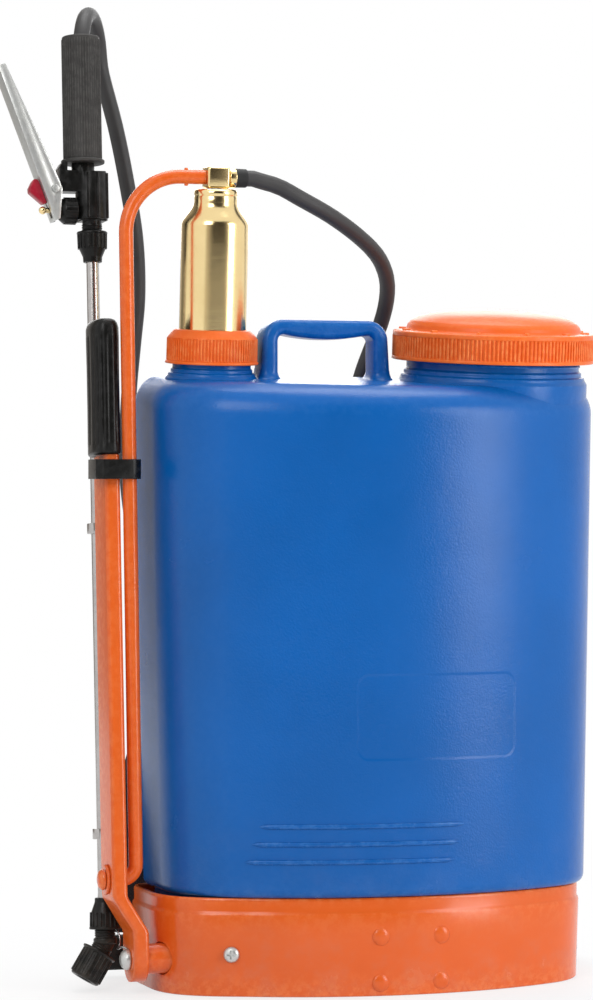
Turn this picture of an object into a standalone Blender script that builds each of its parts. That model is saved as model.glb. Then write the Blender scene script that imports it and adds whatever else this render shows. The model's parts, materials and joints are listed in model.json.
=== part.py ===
"""Lever-operated knapsack sprayer: tank on a sheet-steel base, brass pump, side lever, hose and lance.

Units are metres. +Z is up, +X is to the right of the viewer in front of the tank, and +Y points to the
wearer's back. The origin is the middle of the base, on the surface that the sprayer stands on.
"""

from math import atan2, cos, degrees, pi, radians, sin, sqrt, tan

import bmesh
import bpy
from mathutils import Matrix, Vector

MM = 0.001
GAP = 0.3 * MM
SLIDE_GAP = 0.4 * MM

# Tank
TANK_HALF_WIDTH = 179 * MM
TANK_FRONT = -93 * MM
TANK_BACK = 86 * MM
TANK_FRONT_RADIUS = 300 * MM
TANK_CORNER_RADIUS = 78 * MM
TANK_BACK_RADIUS = 32 * MM
TANK_BACK_HOLLOW = 20 * MM
TANK_FOOT_SCALE = 0.962
TANK_WALL = 3.5 * MM
TANK_SHOULDER = 24 * MM
DECK_HEIGHT = 468.5 * MM
DECK_SLOPE = radians(5)
SLOPE_START = 300 * MM
SPIGOT_INSET = 9 * MM
SPIGOT_DEPTH = 11 * MM

# Base
BASE_HEIGHT = 75 * MM
BASE_INSET_TOP = 3.5 * MM
BASE_INSET_FOOT = 6 * MM
BASE_SHEET = 2 * MM
BASE_BEAD_HEIGHT = 62 * MM
BASE_BEAD_STEP = 1.6 * MM
LEVER_SIDE_BULGE = 13 * MM
LEVER_SIDE_START = 118 * MM
LEVER_SIDE_END = 160 * MM
BRACE_WIDTH = 64 * MM
BRACE_SHEET = 2.5 * MM
DIMPLE_SPACING = (48 * MM, 35 * MM)
DIMPLE_RADIUS = 6.5 * MM
DIMPLE_FOOT = 10 * MM
SCREW_X = -133 * MM
SCREW_Z = 32 * MM
SCREW_HEAD_RADIUS = 6 * MM
SCREW_RADIUS = 2.5 * MM
SCREW_LENGTH = 14 * MM

# Carry handle
HANDLE_LEFT = -90 * MM
HANDLE_RIGHT = 12 * MM
HANDLE_RISE = 46.5 * MM
HANDLE_TOP = DECK_HEIGHT + HANDLE_RISE
HANDLE_BAR = 11.5 * MM
HANDLE_LEG = 12 * MM
HANDLE_SAG = 3.5 * MM
HANDLE_DEPTH = 26 * MM
HANDLE_Y = 15 * MM
HANDLE_ROOT = 8 * MM

# Filler
FILLER_X = 99 * MM
FILLER_Y = 5 * MM
FILLER_NECK_RADIUS = 70 * MM
FILLER_BORE_RADIUS = 63 * MM
FILLER_NECK_HEIGHT = 27 * MM
LID_RADIUS = 80 * MM
LID_HEIGHT = 25 * MM
LID_BOTTOM = 16 * MM
LID_CROWN_RADIUS = 68 * MM
LID_CROWN = 15 * MM
LID_WALL = 4 * MM
GASKET_THICKNESS = 3 * MM
BASKET_DEPTH = 70 * MM
BASKET_WALL = 2 * MM
BASKET_FLANGE = 3 * MM

# Pump
PUMP_X = -129 * MM
PUMP_Y = 15 * MM
CHAMBER_RADIUS = 26 * MM
CHAMBER_WALL = 1.2 * MM
CHAMBER_SHOULDER = 118 * MM
CHAMBER_NECK_RADIUS = 16.8 * MM
CHAMBER_NECK = 138 * MM
CHAMBER_TOP = 145 * MM
CHAMBER_FOOT = -95 * MM
CYLINDER_WALL = 1 * MM
CYLINDER_FOOT = -196 * MM
PUMP_NECK_WALL = 3.6 * MM
PUMP_NECK_HEIGHT = 24 * MM
PUMP_CAP_RADIUS = 35.6 * MM
PUMP_CAP_BOTTOM = 10.5 * MM
PUMP_CAP_RIM = 31 * MM
PUMP_CAP_TOP = 37 * MM
PUMP_CAP_FLANGE = 2.5 * MM
BLOCK_SIDE = 18 * MM
BLOCK_HEIGHT = 17 * MM
FITTING_RADIUS = 6.3 * MM
FITTING_LENGTH = 12 * MM
PISTON_HEIGHT = 12 * MM
CUP_HEIGHT = 9 * MM
FOOT_VALVE_HEIGHT = 16 * MM
STRAINER_HEIGHT = 22 * MM

# Lever and link rod
PIVOT_Y = -12 * MM
PIVOT_Z = 26 * MM
LEVER_LEAN = radians(4.2)
LEVER_UPPER_X = -212 * MM
LEVER_LOWER_X = -196 * MM
LEVER_WIDTH = 12 * MM
LEVER_DEPTH = 34 * MM
LEVER_SHEET = 2.2 * MM
LEVER_TAIL = 17 * MM
LEVER_LENGTH = 484 * MM
JOG_START = 20 * MM
JOG_END = 49 * MM
CRANK = 61 * MM
BOLT_RADIUS = 5 * MM
BOLT_HEAD_RADIUS = 8 * MM
BOLT_HEAD = 7 * MM
BOSS_RADIUS = 11.5 * MM
BRACKET_SHEET = 3 * MM
BRACKET_BOTTOM = 5 * MM
BRACKET_TOP = 60 * MM
BRACKET_BACK = 26 * MM
BRACKET_REACH = 14 * MM
BOSS_REACH = 52 * MM
NUT_RADIUS = 8.5 * MM
NUT_HEIGHT = 7 * MM
ROD_RADIUS = 5.5 * MM
ROD_FOOT_X = -195.5 * MM
ROD_HEAD_X = -201.5 * MM
ROD_ARC = 44 * MM
ROD_ELBOW = 11 * MM
RIVET_RADIUS = 8 * MM
RIVET_HEIGHT = 5 * MM
RIVET_WASHER = 2 * MM
RIVET_WASHER_RADIUS = 11.5 * MM
GRIP_WIDTH = 22 * MM
GRIP_DEPTH = 41 * MM
GRIP_SHIFT = -2 * MM
TONGUE_DEPTH = 26 * MM
GRIP_START = 384 * MM
GRIP_CAP = 4 * MM
CLIP_HEIGHT = 15 * MM
CLIP_AT = 373.5 * MM
CLIP_ARM = 8 * MM
CLIP_RING = 3.2 * MM

# Lance and trigger valve, on the lance's own axis, which is parallel to the lever
LANCE_X = -212.5 * MM
LANCE_BEHIND_LEVER = 30.8 * MM
LANCE_RADIUS = 4.9 * MM
LANCE_BORE = 3.9 * MM
LANCE_FOOT = 58 * MM
LANCE_HEAD = 588 * MM
LANCE_NUT_RADIUS = 11.2 * MM
LANCE_NUT_HEIGHT = 24 * MM
LANCE_NUT_BELOW_HEAD = 27 * MM
LANCE_NUT_FOOT = LANCE_HEAD - LANCE_NUT_BELOW_HEAD
NOZZLE_NUT_FOOT = 46 * MM
NOZZLE_NECK_RADIUS = 7.4 * MM
VALVE_ABOVE_LANCE = 5 * MM
VALVE_FOOT = LANCE_HEAD + VALVE_ABOVE_LANCE
VALVE_HEIGHT = 39 * MM
VALVE_HEAD = VALVE_FOOT + VALVE_HEIGHT
VALVE_CORE_WIDTH = 20 * MM
VALVE_DEPTH = 25 * MM
VALVE_PLATE_HALF = 7.2 * MM
VALVE_ARM_LENGTH = 16.5 * MM
VALVE_ARM_HEIGHT = 16.5 * MM
VALVE_HORN = 6 * MM
VALVE_NECK_RADIUS = 7.5 * MM
HAND_GRIP_OFFSET = -6.4 * MM
HAND_GRIP_RADIUS = 15 * MM
HAND_GRIP_ABOVE_VALVE = 6 * MM
HAND_GRIP_FOOT = VALVE_HEAD + HAND_GRIP_ABOVE_VALVE
HAND_GRIP_LENGTH = 100 * MM
HAND_GRIP_TOP = HAND_GRIP_FOOT + HAND_GRIP_LENGTH
HAND_GRIP_MOUTH = 12.4 * MM
HAND_GRIP_MOUTH_DEPTH = 24 * MM
HAND_GRIP_FLANGE = 17 * MM
GLAND_RADIUS = 10.6 * MM
GLAND_LENGTH = 13.5 * MM
STEM_BELOW_PIVOT = 16 * MM
STEM_RADIUS = 2 * MM
BALL_NUT_RADIUS = 3.2 * MM
TRIGGER_PIVOT_BELOW_HEAD = 15 * MM
TRIGGER_PIVOT_Z = VALVE_HEAD - TRIGGER_PIVOT_BELOW_HEAD
TRIGGER_PIVOT_OUT = 30.5 * MM
TRIGGER_TILT = radians(20)
TRIGGER_UP = 104 * MM
TRIGGER_DOWN = 23 * MM
TRIGGER_WIDTH = 18 * MM
TRIGGER_SHEET = 1.2 * MM
TRIGGER_FLANGE = 14 * MM
TRIGGER_FLANGE_END = 6 * MM
PIN_RADIUS = 1.8 * MM
LOCK_LENGTH = 22 * MM
LOCK_DEPTH = 10 * MM
LOCK_WIDTH = 9 * MM
LOCK_HUB_RADIUS = 3 * MM
LOCK_ABOVE_PIVOT = 3 * MM
NOZZLE_TILT = radians(32)
NOZZLE_CAP_RADIUS = 12.5 * MM
NOZZLE_CAP_LENGTH = 24 * MM
ELBOW_Z = 36 * MM
CLIP_WIRE = 3 * MM
LANCE_CLIPS = (95 * MM, 330 * MM)
LANCE_CLIP_HEIGHT = 8 * MM

# Harness
STRAP_WIDTH = 38 * MM
STRAP_THICKNESS = 2.4 * MM
STRAP_OFF_TANK = 10 * MM
STRAP_ROUTE = ((46, 446), (60, 408), (88, 350), (118, 280), (146, 205), (168, 130), (179, 74), (182, 34))
ANCHOR_HALF = 66 * MM
ANCHOR_SHEET = 4 * MM
ANCHOR_HEIGHT = 24 * MM
ANCHOR_BELOW_DECK = 22.5 * MM
ANCHOR_Z = DECK_HEIGHT - ANCHOR_BELOW_DECK
HOOK_DEPTH = 15 * MM
HOOK_REACH = (126 * MM, 202 * MM)
HOOK_FOOT = 6 * MM

# Hose
HOSE_RADIUS = 6.3 * MM
PUMP_HOSE_ROUTE = (
    (-96, 2, 622), (-78, 3, 617.5), (-60, 5, 609), (-32, 15, 597), (-4, 31, 583), (18, 48, 569),
    (32, 66, 553), (38, 83, 536), (37, 95, 517), (31, 102, 497), (24, 106, 475), (17, 109, 445),
    (11, 111, 410), (6, 113, 370), (0, 116, 330), (-13, 120, 292), (-33, 125, 264),
)
LANCE_HOSE_ROUTE = (
    (-95, 129, 256), (-119, 131, 273), (-141, 132.5, 302), (-156, 134, 340),
    (-163, 136, 385), (-163.5, 137, 425), (-161.5, 137.5, 466), (-158, 138, 501), (-154.5, 138, 540),
    (-156, 138.5, 584), (-163, 139, 628), (-172, 139.5, 672), (-183, 139, 712),
)
HOSE_MEETING = (-65, 128, 250)
HOSE_LOOP_RADIUS = 38 * MM
HOSE_LOOP_TURN = radians(64)
HOSE_STEP = 30 * MM


def clear_scene():
    for obj in list(bpy.data.objects):
        bpy.data.objects.remove(obj)


def new_collection(name):
    collection = bpy.data.collections.new(name)
    bpy.context.scene.collection.children.link(collection)
    return collection


clear_scene()
PARTS = new_collection("pump_sprayer")
CUTTERS = new_collection("cutters")


def principled(name, colour, roughness, metallic=0.0):
    material = bpy.data.materials.new(name)
    material.use_nodes = True
    shader = material.node_tree.nodes["Principled BSDF"]
    shader.inputs["Base Color"].default_value = (*colour, 1)
    shader.inputs["Roughness"].default_value = roughness
    shader.inputs["Metallic"].default_value = metallic
    return material


BLUE = principled("tank_blue", (0.003, 0.115, 0.45), 0.4)
ORANGE_STEEL = principled("orange_paint", (0.70, 0.115, 0.017), 0.25)
ORANGE_PLASTIC = principled("orange_plastic", (0.83, 0.14, 0.017), 0.4)
BRASS = principled("polished_brass", (0.80, 0.56, 0.20), 0.15, 1.0)
BLACK = principled("black_plastic", (0.012, 0.012, 0.012), 0.4)
GREY = principled("grip_grey", (0.045, 0.043, 0.04), 0.6)
STEEL = principled("stainless_steel", (0.55, 0.53, 0.51), 0.25, 1.0)
ZINC = principled("zinc_plate", (0.6, 0.6, 0.58), 0.3, 1.0)
RED = principled("lock_red", (0.37, 0.01, 0.03), 0.35)
RUBBER = principled("hose_rubber", (0.035, 0.034, 0.034), 0.55)
WEBBING = principled("strap_webbing", (0.03, 0.03, 0.035), 0.85)
PALE = principled("pale_plastic", (0.75, 0.75, 0.70), 0.5)
SEAL = principled("seal_rubber", (0.02, 0.02, 0.02), 0.7)


# Frames that tilted assemblies are built in: local z runs along each assembly's own axis
def axis_empty(name, location, lean):
    empty = bpy.data.objects.new(name, None)
    empty.location = location
    empty.rotation_euler.x = lean
    PARTS.objects.link(empty)
    return empty


def deck_z(y):
    return DECK_HEIGHT + y * tan(DECK_SLOPE)


LANCE_Y = PIVOT_Y - PIVOT_Z * tan(LEVER_LEAN) + LANCE_BEHIND_LEVER / cos(LEVER_LEAN)
PUMP_AXIS = axis_empty("pump_axis", (PUMP_X, PUMP_Y, deck_z(PUMP_Y)), DECK_SLOPE)
FILLER_AXIS = axis_empty("filler_axis", (FILLER_X, FILLER_Y, deck_z(FILLER_Y)), DECK_SLOPE)
LEVER_AXIS = axis_empty("lever_axis", (0, PIVOT_Y, PIVOT_Z), -LEVER_LEAN)
LANCE_AXIS = axis_empty("lance_axis", (0, LANCE_Y, 0), -LEVER_LEAN)
bpy.context.view_layer.update()


def place(name, data, material, parent=None, helper=False, smooth=True):
    """Links the data as a piece, or as a hidden helper for cutting and joining."""
    obj = bpy.data.objects.new(name, data)
    obj.parent = parent
    if helper:
        CUTTERS.objects.link(obj)
        obj.hide_render = True
        obj.display_type = "WIRE"
    else:
        PARTS.objects.link(obj)
    data.materials.append(material)
    if smooth and isinstance(data, bpy.types.Mesh):
        data.shade_smooth()
        data.set_sharp_from_angle(angle=radians(35))
    return obj


def boolean(target, tool, operation):
    modifier = target.modifiers.new(f"{operation.lower()}_{tool.name}", "BOOLEAN")
    modifier.operation = operation
    modifier.object = tool
    modifier.solver = "EXACT"


def cut(target, *tools):
    for tool in tools:
        boolean(target, tool, "DIFFERENCE")


def unite(target, *tools):
    for tool in tools:
        boolean(target, tool, "UNION")


def bevel(obj, width, segments=1):
    modifier = obj.modifiers.new("rounded_edges", "BEVEL")
    modifier.width = width
    modifier.segments = segments
    modifier.limit_method = "ANGLE"
    modifier.angle_limit = radians(40)


def turned(name, profile, material, parent=None, at=(0, 0, 0), turn=None, steps=32, helper=False):
    """Turns a profile of (radius, height) points about local z. It runs from the top down its outer side.

    A profile that starts and ends on the axis is solid, and any other is closed into a ring.
    """
    mesh = bpy.data.meshes.new(name)
    points = [(radius, 0, height) for radius, height in profile]
    edges = [(i, i + 1) for i in range(len(points) - 1)]
    if profile[0][0] > 0 or profile[-1][0] > 0:
        edges.append((len(points) - 1, 0))
    mesh.from_pydata(points, edges, [])
    obj = place(name, mesh, material, parent, helper, smooth=False)
    obj.location = at
    if turn:
        obj.rotation_euler = turn
    screw = obj.modifiers.new("turn", "SCREW")
    screw.steps = steps
    screw.render_steps = steps
    screw.use_merge_vertices = True
    screw.merge_threshold = 0.00001
    screw.use_smooth_shade = True
    return obj


def solid_bar(radius, bottom, top):
    return [(0, top), (radius, top), (radius, bottom), (0, bottom)]


def ring_bar(inner, outer, bottom, top):
    return [(outer, top), (outer, bottom), (inner, bottom), (inner, top)]


def block(name, low, high, material, parent=None, helper=False):
    mesh = bpy.data.meshes.new(name)
    form = bmesh.new()
    bmesh.ops.create_cube(form, size=1)
    size = Vector(high) - Vector(low)
    middle = (Vector(high) + Vector(low)) / 2
    bmesh.ops.transform(form, matrix=Matrix.Translation(middle) @ Matrix.Diagonal((*size, 1)),
                        verts=form.verts)
    form.to_mesh(mesh)
    form.free()
    return place(name, mesh, material, parent, helper, smooth=False)


def mesh_of_curve(curve):
    """The curve as a mesh with its caps welded on."""
    guide = bpy.data.objects.new("guide", curve)
    bpy.context.scene.collection.objects.link(guide)
    graph = bpy.context.evaluated_depsgraph_get()
    mesh = bpy.data.meshes.new_from_object(guide.evaluated_get(graph))
    bpy.data.objects.remove(guide)
    bpy.data.curves.remove(curve)
    form = bmesh.new()
    form.from_mesh(mesh)
    bmesh.ops.remove_doubles(form, verts=form.verts, dist=0.00001)
    bmesh.ops.recalc_face_normals(form, faces=form.faces)
    form.to_mesh(mesh)
    form.free()
    return mesh


def tube(name, points, radius, material, parent=None, helper=False, resolution=3):
    """A round bar along the points."""
    curve = bpy.data.curves.new(name, "CURVE")
    curve.dimensions = "3D"
    curve.bevel_depth = radius
    curve.bevel_resolution = resolution
    curve.use_fill_caps = True
    spline = curve.splines.new("POLY")
    spline.points.add(len(points) - 1)
    for point, co in zip(spline.points, points):
        point.co = (*co, 1)
    return place(name, mesh_of_curve(curve), material, parent, helper)


def plate(name, outlines, low, high, across, material, parent=None, helper=False):
    """A flat outline, with any holes, extruded from low to high along the axis named by across.

    An outline lies in (x, z) when across is "y", in (y, z) when it is "x" and in (x, y) when it is "z".
    """
    curve = bpy.data.curves.new(name, "CURVE")
    curve.dimensions = "2D"
    curve.fill_mode = "BOTH"
    curve.extrude = (high - low) / 2
    for outline in outlines:
        spline = curve.splines.new("POLY")
        spline.points.add(len(outline) - 1)
        spline.use_cyclic_u = True
        for point, (a, b) in zip(spline.points, outline):
            point.co = (a, b, 0, 1)
    mesh = mesh_of_curve(curve)
    middle = (high + low) / 2
    stand = {
        "x": Matrix(((0, 0, 1, middle), (1, 0, 0, 0), (0, 1, 0, 0), (0, 0, 0, 1))),
        "y": Matrix(((1, 0, 0, 0), (0, 0, -1, middle), (0, 1, 0, 0), (0, 0, 0, 1))),
        "z": Matrix.Translation((0, 0, middle)),
    }[across]
    mesh.transform(stand)
    return place(name, mesh, material, parent, helper)


def loft(name, rings, material, parent=None, helper=False, closed=False):
    """Skins rings of equal count in order. The first and last are capped, or joined when closed."""
    form = bmesh.new()
    rows = [[form.verts.new(point) for point in ring] for ring in rings]
    pairs = list(zip(rows, rows[1:] + rows[:1] if closed else rows[1:]))
    for lower, upper in pairs:
        for i in range(len(lower)):
            j = (i + 1) % len(lower)
            form.faces.new((lower[i], lower[j], upper[j], upper[i]))
    if not closed:
        form.faces.new(rows[0][::-1])
        form.faces.new(rows[-1])
    bmesh.ops.recalc_face_normals(form, faces=form.faces)
    mesh = bpy.data.meshes.new(name)
    form.to_mesh(mesh)
    form.free()
    return place(name, mesh, material, parent, helper)


def arc(cx, cy, radius, start, end, count):
    angles = [start + (end - start) * i / count for i in range(count + 1)]
    return [(cx + radius * cos(angle), cy + radius * sin(angle)) for angle in angles]


def oval(half_x, half_y, power, count):
    points = []
    for i in range(count):
        c, s = cos(2 * pi * i / count), sin(2 * pi * i / count)
        x = half_x * abs(c) ** power * (1 if c >= 0 else -1)
        y = half_y * abs(s) ** power * (1 if s >= 0 else -1)
        points.append((x, y))
    return points


def smooth_route(points, step):
    """Points about a step apart on a smooth curve through the given ones."""
    knots = [Vector(p) for p in points]
    padded = [2 * knots[0] - knots[1], *knots, 2 * knots[-1] - knots[-2]]
    fine = []
    for a, b, c, d in zip(padded, padded[1:], padded[2:], padded[3:]):
        for i in range(12):
            t = i / 12
            fine.append(0.5 * (2 * b + (c - a) * t + (2 * a - 5 * b + 4 * c - d) * t**2
                               + (3 * b - a - 3 * c + d) * t**3))
    fine.append(knots[-1])
    total = sum((q - p).length for p, q in zip(fine, fine[1:]))
    spacing = total / round(total / step)
    route, walked = [fine[0]], 0.0
    for p, q in zip(fine, fine[1:]):
        walked += (q - p).length
        if walked >= spacing * len(route) - 1e-9:
            route.append(q)
    route[-1] = fine[-1]
    return route


# Tank
def plan(inset, scale=1.0, half_width=TANK_HALF_WIDTH):
    """The tank's outline seen from above, moved inwards by the inset, starting at the front middle."""
    radius = TANK_FRONT_RADIUS - inset
    corner = TANK_CORNER_RADIUS - inset
    back_corner = max(TANK_BACK_RADIUS - inset, 2 * MM)
    side = half_width - inset
    front, back = TANK_FRONT + inset, TANK_BACK - inset
    centre_y = front + radius
    corner_x = side - corner
    corner_y = centre_y - sqrt((radius - corner) ** 2 - corner_x**2)
    turn = atan2(corner_x, centre_y - corner_y)
    right = arc(0, centre_y, radius, -pi / 2, -pi / 2 + turn, 7)
    right += arc(corner_x, corner_y, corner, -pi / 2 + turn, 0, 6)[1:]
    right += arc(side - back_corner, back - back_corner, back_corner, 0, pi / 2, 4)
    hollow_half = side - back_corner
    steps = 7
    for i in range(1, steps + 1):
        x = hollow_half * (1 - i / steps)
        right.append((x, back - TANK_BACK_HOLLOW * (1 + cos(pi * x / hollow_half)) / 2))
    left = [(-x, y) for x, y in right[-2:0:-1]]
    return [(x * scale, y * scale) for x, y in right + left]


def taper(z):
    """How much the plan has narrowed at a height below the deck."""
    share = (DECK_HEIGHT - z) / (DECK_HEIGHT - BASE_HEIGHT)
    return 1 - (1 - TANK_FOOT_SCALE) * share


def tank_ring(z, inset):
    """The tank's outline at a height, sloped like the deck towards the top."""
    lift = max(0.0, (z - SLOPE_START) / (DECK_HEIGHT - SLOPE_START)) * tan(DECK_SLOPE)
    return [(x, y, z + y * lift) for x, y in plan(inset, taper(min(z, DECK_HEIGHT)))]


def shell_rings(wall):
    """Rings of the tank's outside, or of the space inside a wall."""
    foot = BASE_HEIGHT - SPIGOT_DEPTH + wall
    sill = BASE_HEIGHT + wall
    rings = [tank_ring(foot, SPIGOT_INSET + wall), tank_ring(sill, SPIGOT_INSET + wall)]
    rings += [tank_ring(sill + z * MM, wall + inset * MM) for z, inset in ((0, 5), (2.5, 1.6), (7, 0))]
    rings += [tank_ring(z * MM, wall) for z in (180, 300, 380)]
    rise = TANK_SHOULDER - wall
    for i in range(6):
        angle = pi / 2 * i / 5
        inset = wall + rise * (1 - cos(angle))
        rings.append(tank_ring(DECK_HEIGHT - TANK_SHOULDER + rise * sin(angle), inset))
    return rings


PUMP_BORE = CHAMBER_RADIUS + SLIDE_GAP + CYLINDER_WALL + GAP
PUMP_NECK_RADIUS = PUMP_BORE + PUMP_NECK_WALL


def make_carry_handle():
    """The arch on the deck, cut to the deck's slope at its feet."""
    foot = deck_z(HANDLE_Y) - HANDLE_ROOT
    inner_left, inner_right = HANDLE_LEFT + HANDLE_LEG, HANDLE_RIGHT - HANDLE_LEG
    corner = 16 * MM
    bar_middle = (HANDLE_LEFT + HANDLE_RIGHT) / 2
    under = HANDLE_TOP - HANDLE_BAR
    outer = [(HANDLE_LEFT - 3 * MM, foot), (HANDLE_LEFT, HANDLE_TOP - corner)]
    outer += arc(HANDLE_LEFT + corner, HANDLE_TOP - corner, corner, pi, pi / 2, 4)
    outer += arc(HANDLE_RIGHT - corner, HANDLE_TOP - corner, corner, pi / 2, 0, 4)
    outer += [(HANDLE_RIGHT + 3 * MM, foot)]
    inner = [(inner_right, foot), (inner_right, under - 5 * MM)]
    inner += [(inner_right - 4 * MM, under)]
    half = (inner_right - inner_left) / 2
    for share in (0.5, 0, -0.5):
        inner.append((bar_middle + share * half, under - HANDLE_SAG * (1 - share**2)))
    inner += [(inner_left + 4 * MM, under), (inner_left, under - 5 * MM), (inner_left, foot)]
    low, high = HANDLE_Y - HANDLE_DEPTH / 2, HANDLE_Y + HANDLE_DEPTH / 2
    handle = plate("carry_handle", [outer + inner], low, high, "y", BLUE)
    bevel(handle, 5 * MM, 2)
    reach = HANDLE_RIGHT - HANDLE_LEFT
    below_deck = block("handle_deck_form", (-2 * reach, -reach, -reach), (2 * reach, reach, GAP), BLUE,
                       PUMP_AXIS,
                       helper=True)
    cut(handle, below_deck)


def make_tank():
    tank = loft("tank", shell_rings(0), BLUE)
    inside = loft("tank_inside", shell_rings(TANK_WALL), BLUE, helper=True)
    sink = -14 * MM
    filler = turned("filler_neck_form", [
        (0, FILLER_NECK_HEIGHT), (FILLER_NECK_RADIUS - 2 * MM, FILLER_NECK_HEIGHT),
        (FILLER_NECK_RADIUS - 2 * MM, 8 * MM), (FILLER_NECK_RADIUS, 7 * MM), (FILLER_NECK_RADIUS, 4 * MM),
        (FILLER_NECK_RADIUS + 1.5 * MM, 3 * MM), (FILLER_NECK_RADIUS + 1.5 * MM, sink), (0, sink),
    ], BLUE, FILLER_AXIS, steps=40, helper=True)
    pump = turned("pump_neck_form", [
        (0, PUMP_NECK_HEIGHT), (PUMP_NECK_RADIUS - 1 * MM, PUMP_NECK_HEIGHT),
        (PUMP_NECK_RADIUS - 1 * MM, 7 * MM), (PUMP_NECK_RADIUS, 6 * MM), (PUMP_NECK_RADIUS, 3 * MM),
        (PUMP_NECK_RADIUS + 2 * MM, 2 * MM), (PUMP_NECK_RADIUS + 2 * MM, sink), (0, sink),
    ], BLUE, PUMP_AXIS, helper=True)
    reach = 60 * MM
    filler_bore = turned("filler_bore", solid_bar(FILLER_BORE_RADIUS, -reach, reach), BLUE, FILLER_AXIS,
                         steps=40, helper=True)
    pump_bore = turned("pump_bore", solid_bar(PUMP_BORE, -reach, reach), BLUE, PUMP_AXIS, helper=True)
    unite(tank, filler, pump)
    cut(tank, inside, filler_bore, pump_bore)


# Base
def lever_side_x(x):
    """Moves what lies far to the left outwards, because the base stands out on the lever's side."""
    share = min(max((-x - LEVER_SIDE_START) / (LEVER_SIDE_END - LEVER_SIDE_START), 0), 1)
    return x - LEVER_SIDE_BULGE * share * share * (3 - 2 * share)


def base_ring(z, inset):
    low_to_high = min(max(z / BASE_HEIGHT, 0), 1)
    slope = BASE_INSET_FOOT + (BASE_INSET_TOP - BASE_INSET_FOOT) * low_to_high
    return [(lever_side_x(x), y, z) for x, y in plan(slope + inset, TANK_FOOT_SCALE)]


def base_front_y(x, z, inset=0.0):
    """Where the base's front wall lies at x."""
    ring = base_ring(z, inset)
    front = [(p[0], p[1]) for p in ring if p[1] < 0 or abs(p[0]) < 1 * MM]
    front = sorted(p for p in front if p[1] < TANK_BACK / 2)
    for (xa, ya), (xb, yb) in zip(front, front[1:]):
        if xa <= x <= xb:
            return ya + (yb - ya) * (x - xa) / (xb - xa)
    raise ValueError("x lies outside the base's front wall")


def wall_normal(x, z):
    """The outward direction of the base's front wall at x, as an angle about z from +X."""
    step = 2 * MM
    slope = (base_front_y(x + step, z) - base_front_y(x - step, z)) / (2 * step)
    return atan2(-1, slope)


BEAD = 3 * MM


def make_base_skirt():
    steps = ((0, 0), (BASE_BEAD_HEIGHT, 0), (BASE_BEAD_HEIGHT + BEAD, BASE_BEAD_STEP),
             (BASE_HEIGHT - 2 * MM, BASE_BEAD_STEP), (BASE_HEIGHT - GAP, BASE_BEAD_STEP + 1 * MM))
    outside = [base_ring(z, inset) for z, inset in steps]
    inside = [base_ring(z, inset + BASE_SHEET) for z, inset in steps[::-1]]
    skirt = loft("base_skirt", outside + inside, ORANGE_STEEL, closed=True)
    bolt_hole = turned("boss_hole", solid_bar(BOSS_RADIUS + GAP, -40 * MM, 40 * MM), ORANGE_STEEL,
                       at=(LEVER_LOWER_X + 40 * MM, PIVOT_Y, PIVOT_Z), turn=(0, pi / 2, 0), steps=24,
                       helper=True)
    cut(skirt, bolt_hole)
    screw_hole = turned("screw_hole", solid_bar(SCREW_RADIUS + GAP, -8 * MM, 8 * MM), ORANGE_STEEL,
                        at=(SCREW_X, base_front_y(SCREW_X, SCREW_Z), SCREW_Z),
                        turn=(0, pi / 2, wall_normal(SCREW_X, SCREW_Z)), steps=12, helper=True)
    cut(skirt, screw_hole)
    for i in (-0.5, 0.5):
        for row in (0, 1):
            x = i * DIMPLE_SPACING[0]
            z = DIMPLE_FOOT + row * DIMPLE_SPACING[1]
            depth = 3 * MM
            sphere = (DIMPLE_RADIUS**2 + depth**2) / (2 * depth)
            profile = [(0, depth)] + [(sphere * sin(a), sphere * cos(a) - sphere + depth)
                                      for a in (0.14, 0.28, 0.42)] + [(DIMPLE_RADIUS, -1 * MM),
                                                                      (0, -1 * MM)]
            dimple = turned(f"dimple_{row}_{i}", profile, ORANGE_STEEL,
                            at=(x, base_front_y(x, z) + 1.2 * MM, z), turn=(pi / 2, 0, 0), steps=16,
                            helper=True)
            unite(skirt, dimple)


def make_cross_brace():
    """A channel across the base, from the front wall to the back, that carries the tank."""
    half = BRACE_WIDTH / 2
    top = BASE_HEIGHT - SPIGOT_DEPTH - GAP
    outline = [(-half, 0), (half, 0), (half, top), (half - BRACE_SHEET, top),
               (half - BRACE_SHEET, BRACE_SHEET),
               (BRACE_SHEET - half, BRACE_SHEET), (BRACE_SHEET - half, top), (-half, top)]
    front = base_front_y(half, 0, BASE_SHEET) + GAP
    back_inset = BASE_INSET_FOOT + BASE_SHEET + GAP
    back = (TANK_BACK - back_inset - TANK_BACK_HOLLOW) * TANK_FOOT_SCALE
    plate("base_cross_brace", [outline], front, back, "y", ORANGE_STEEL)


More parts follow.
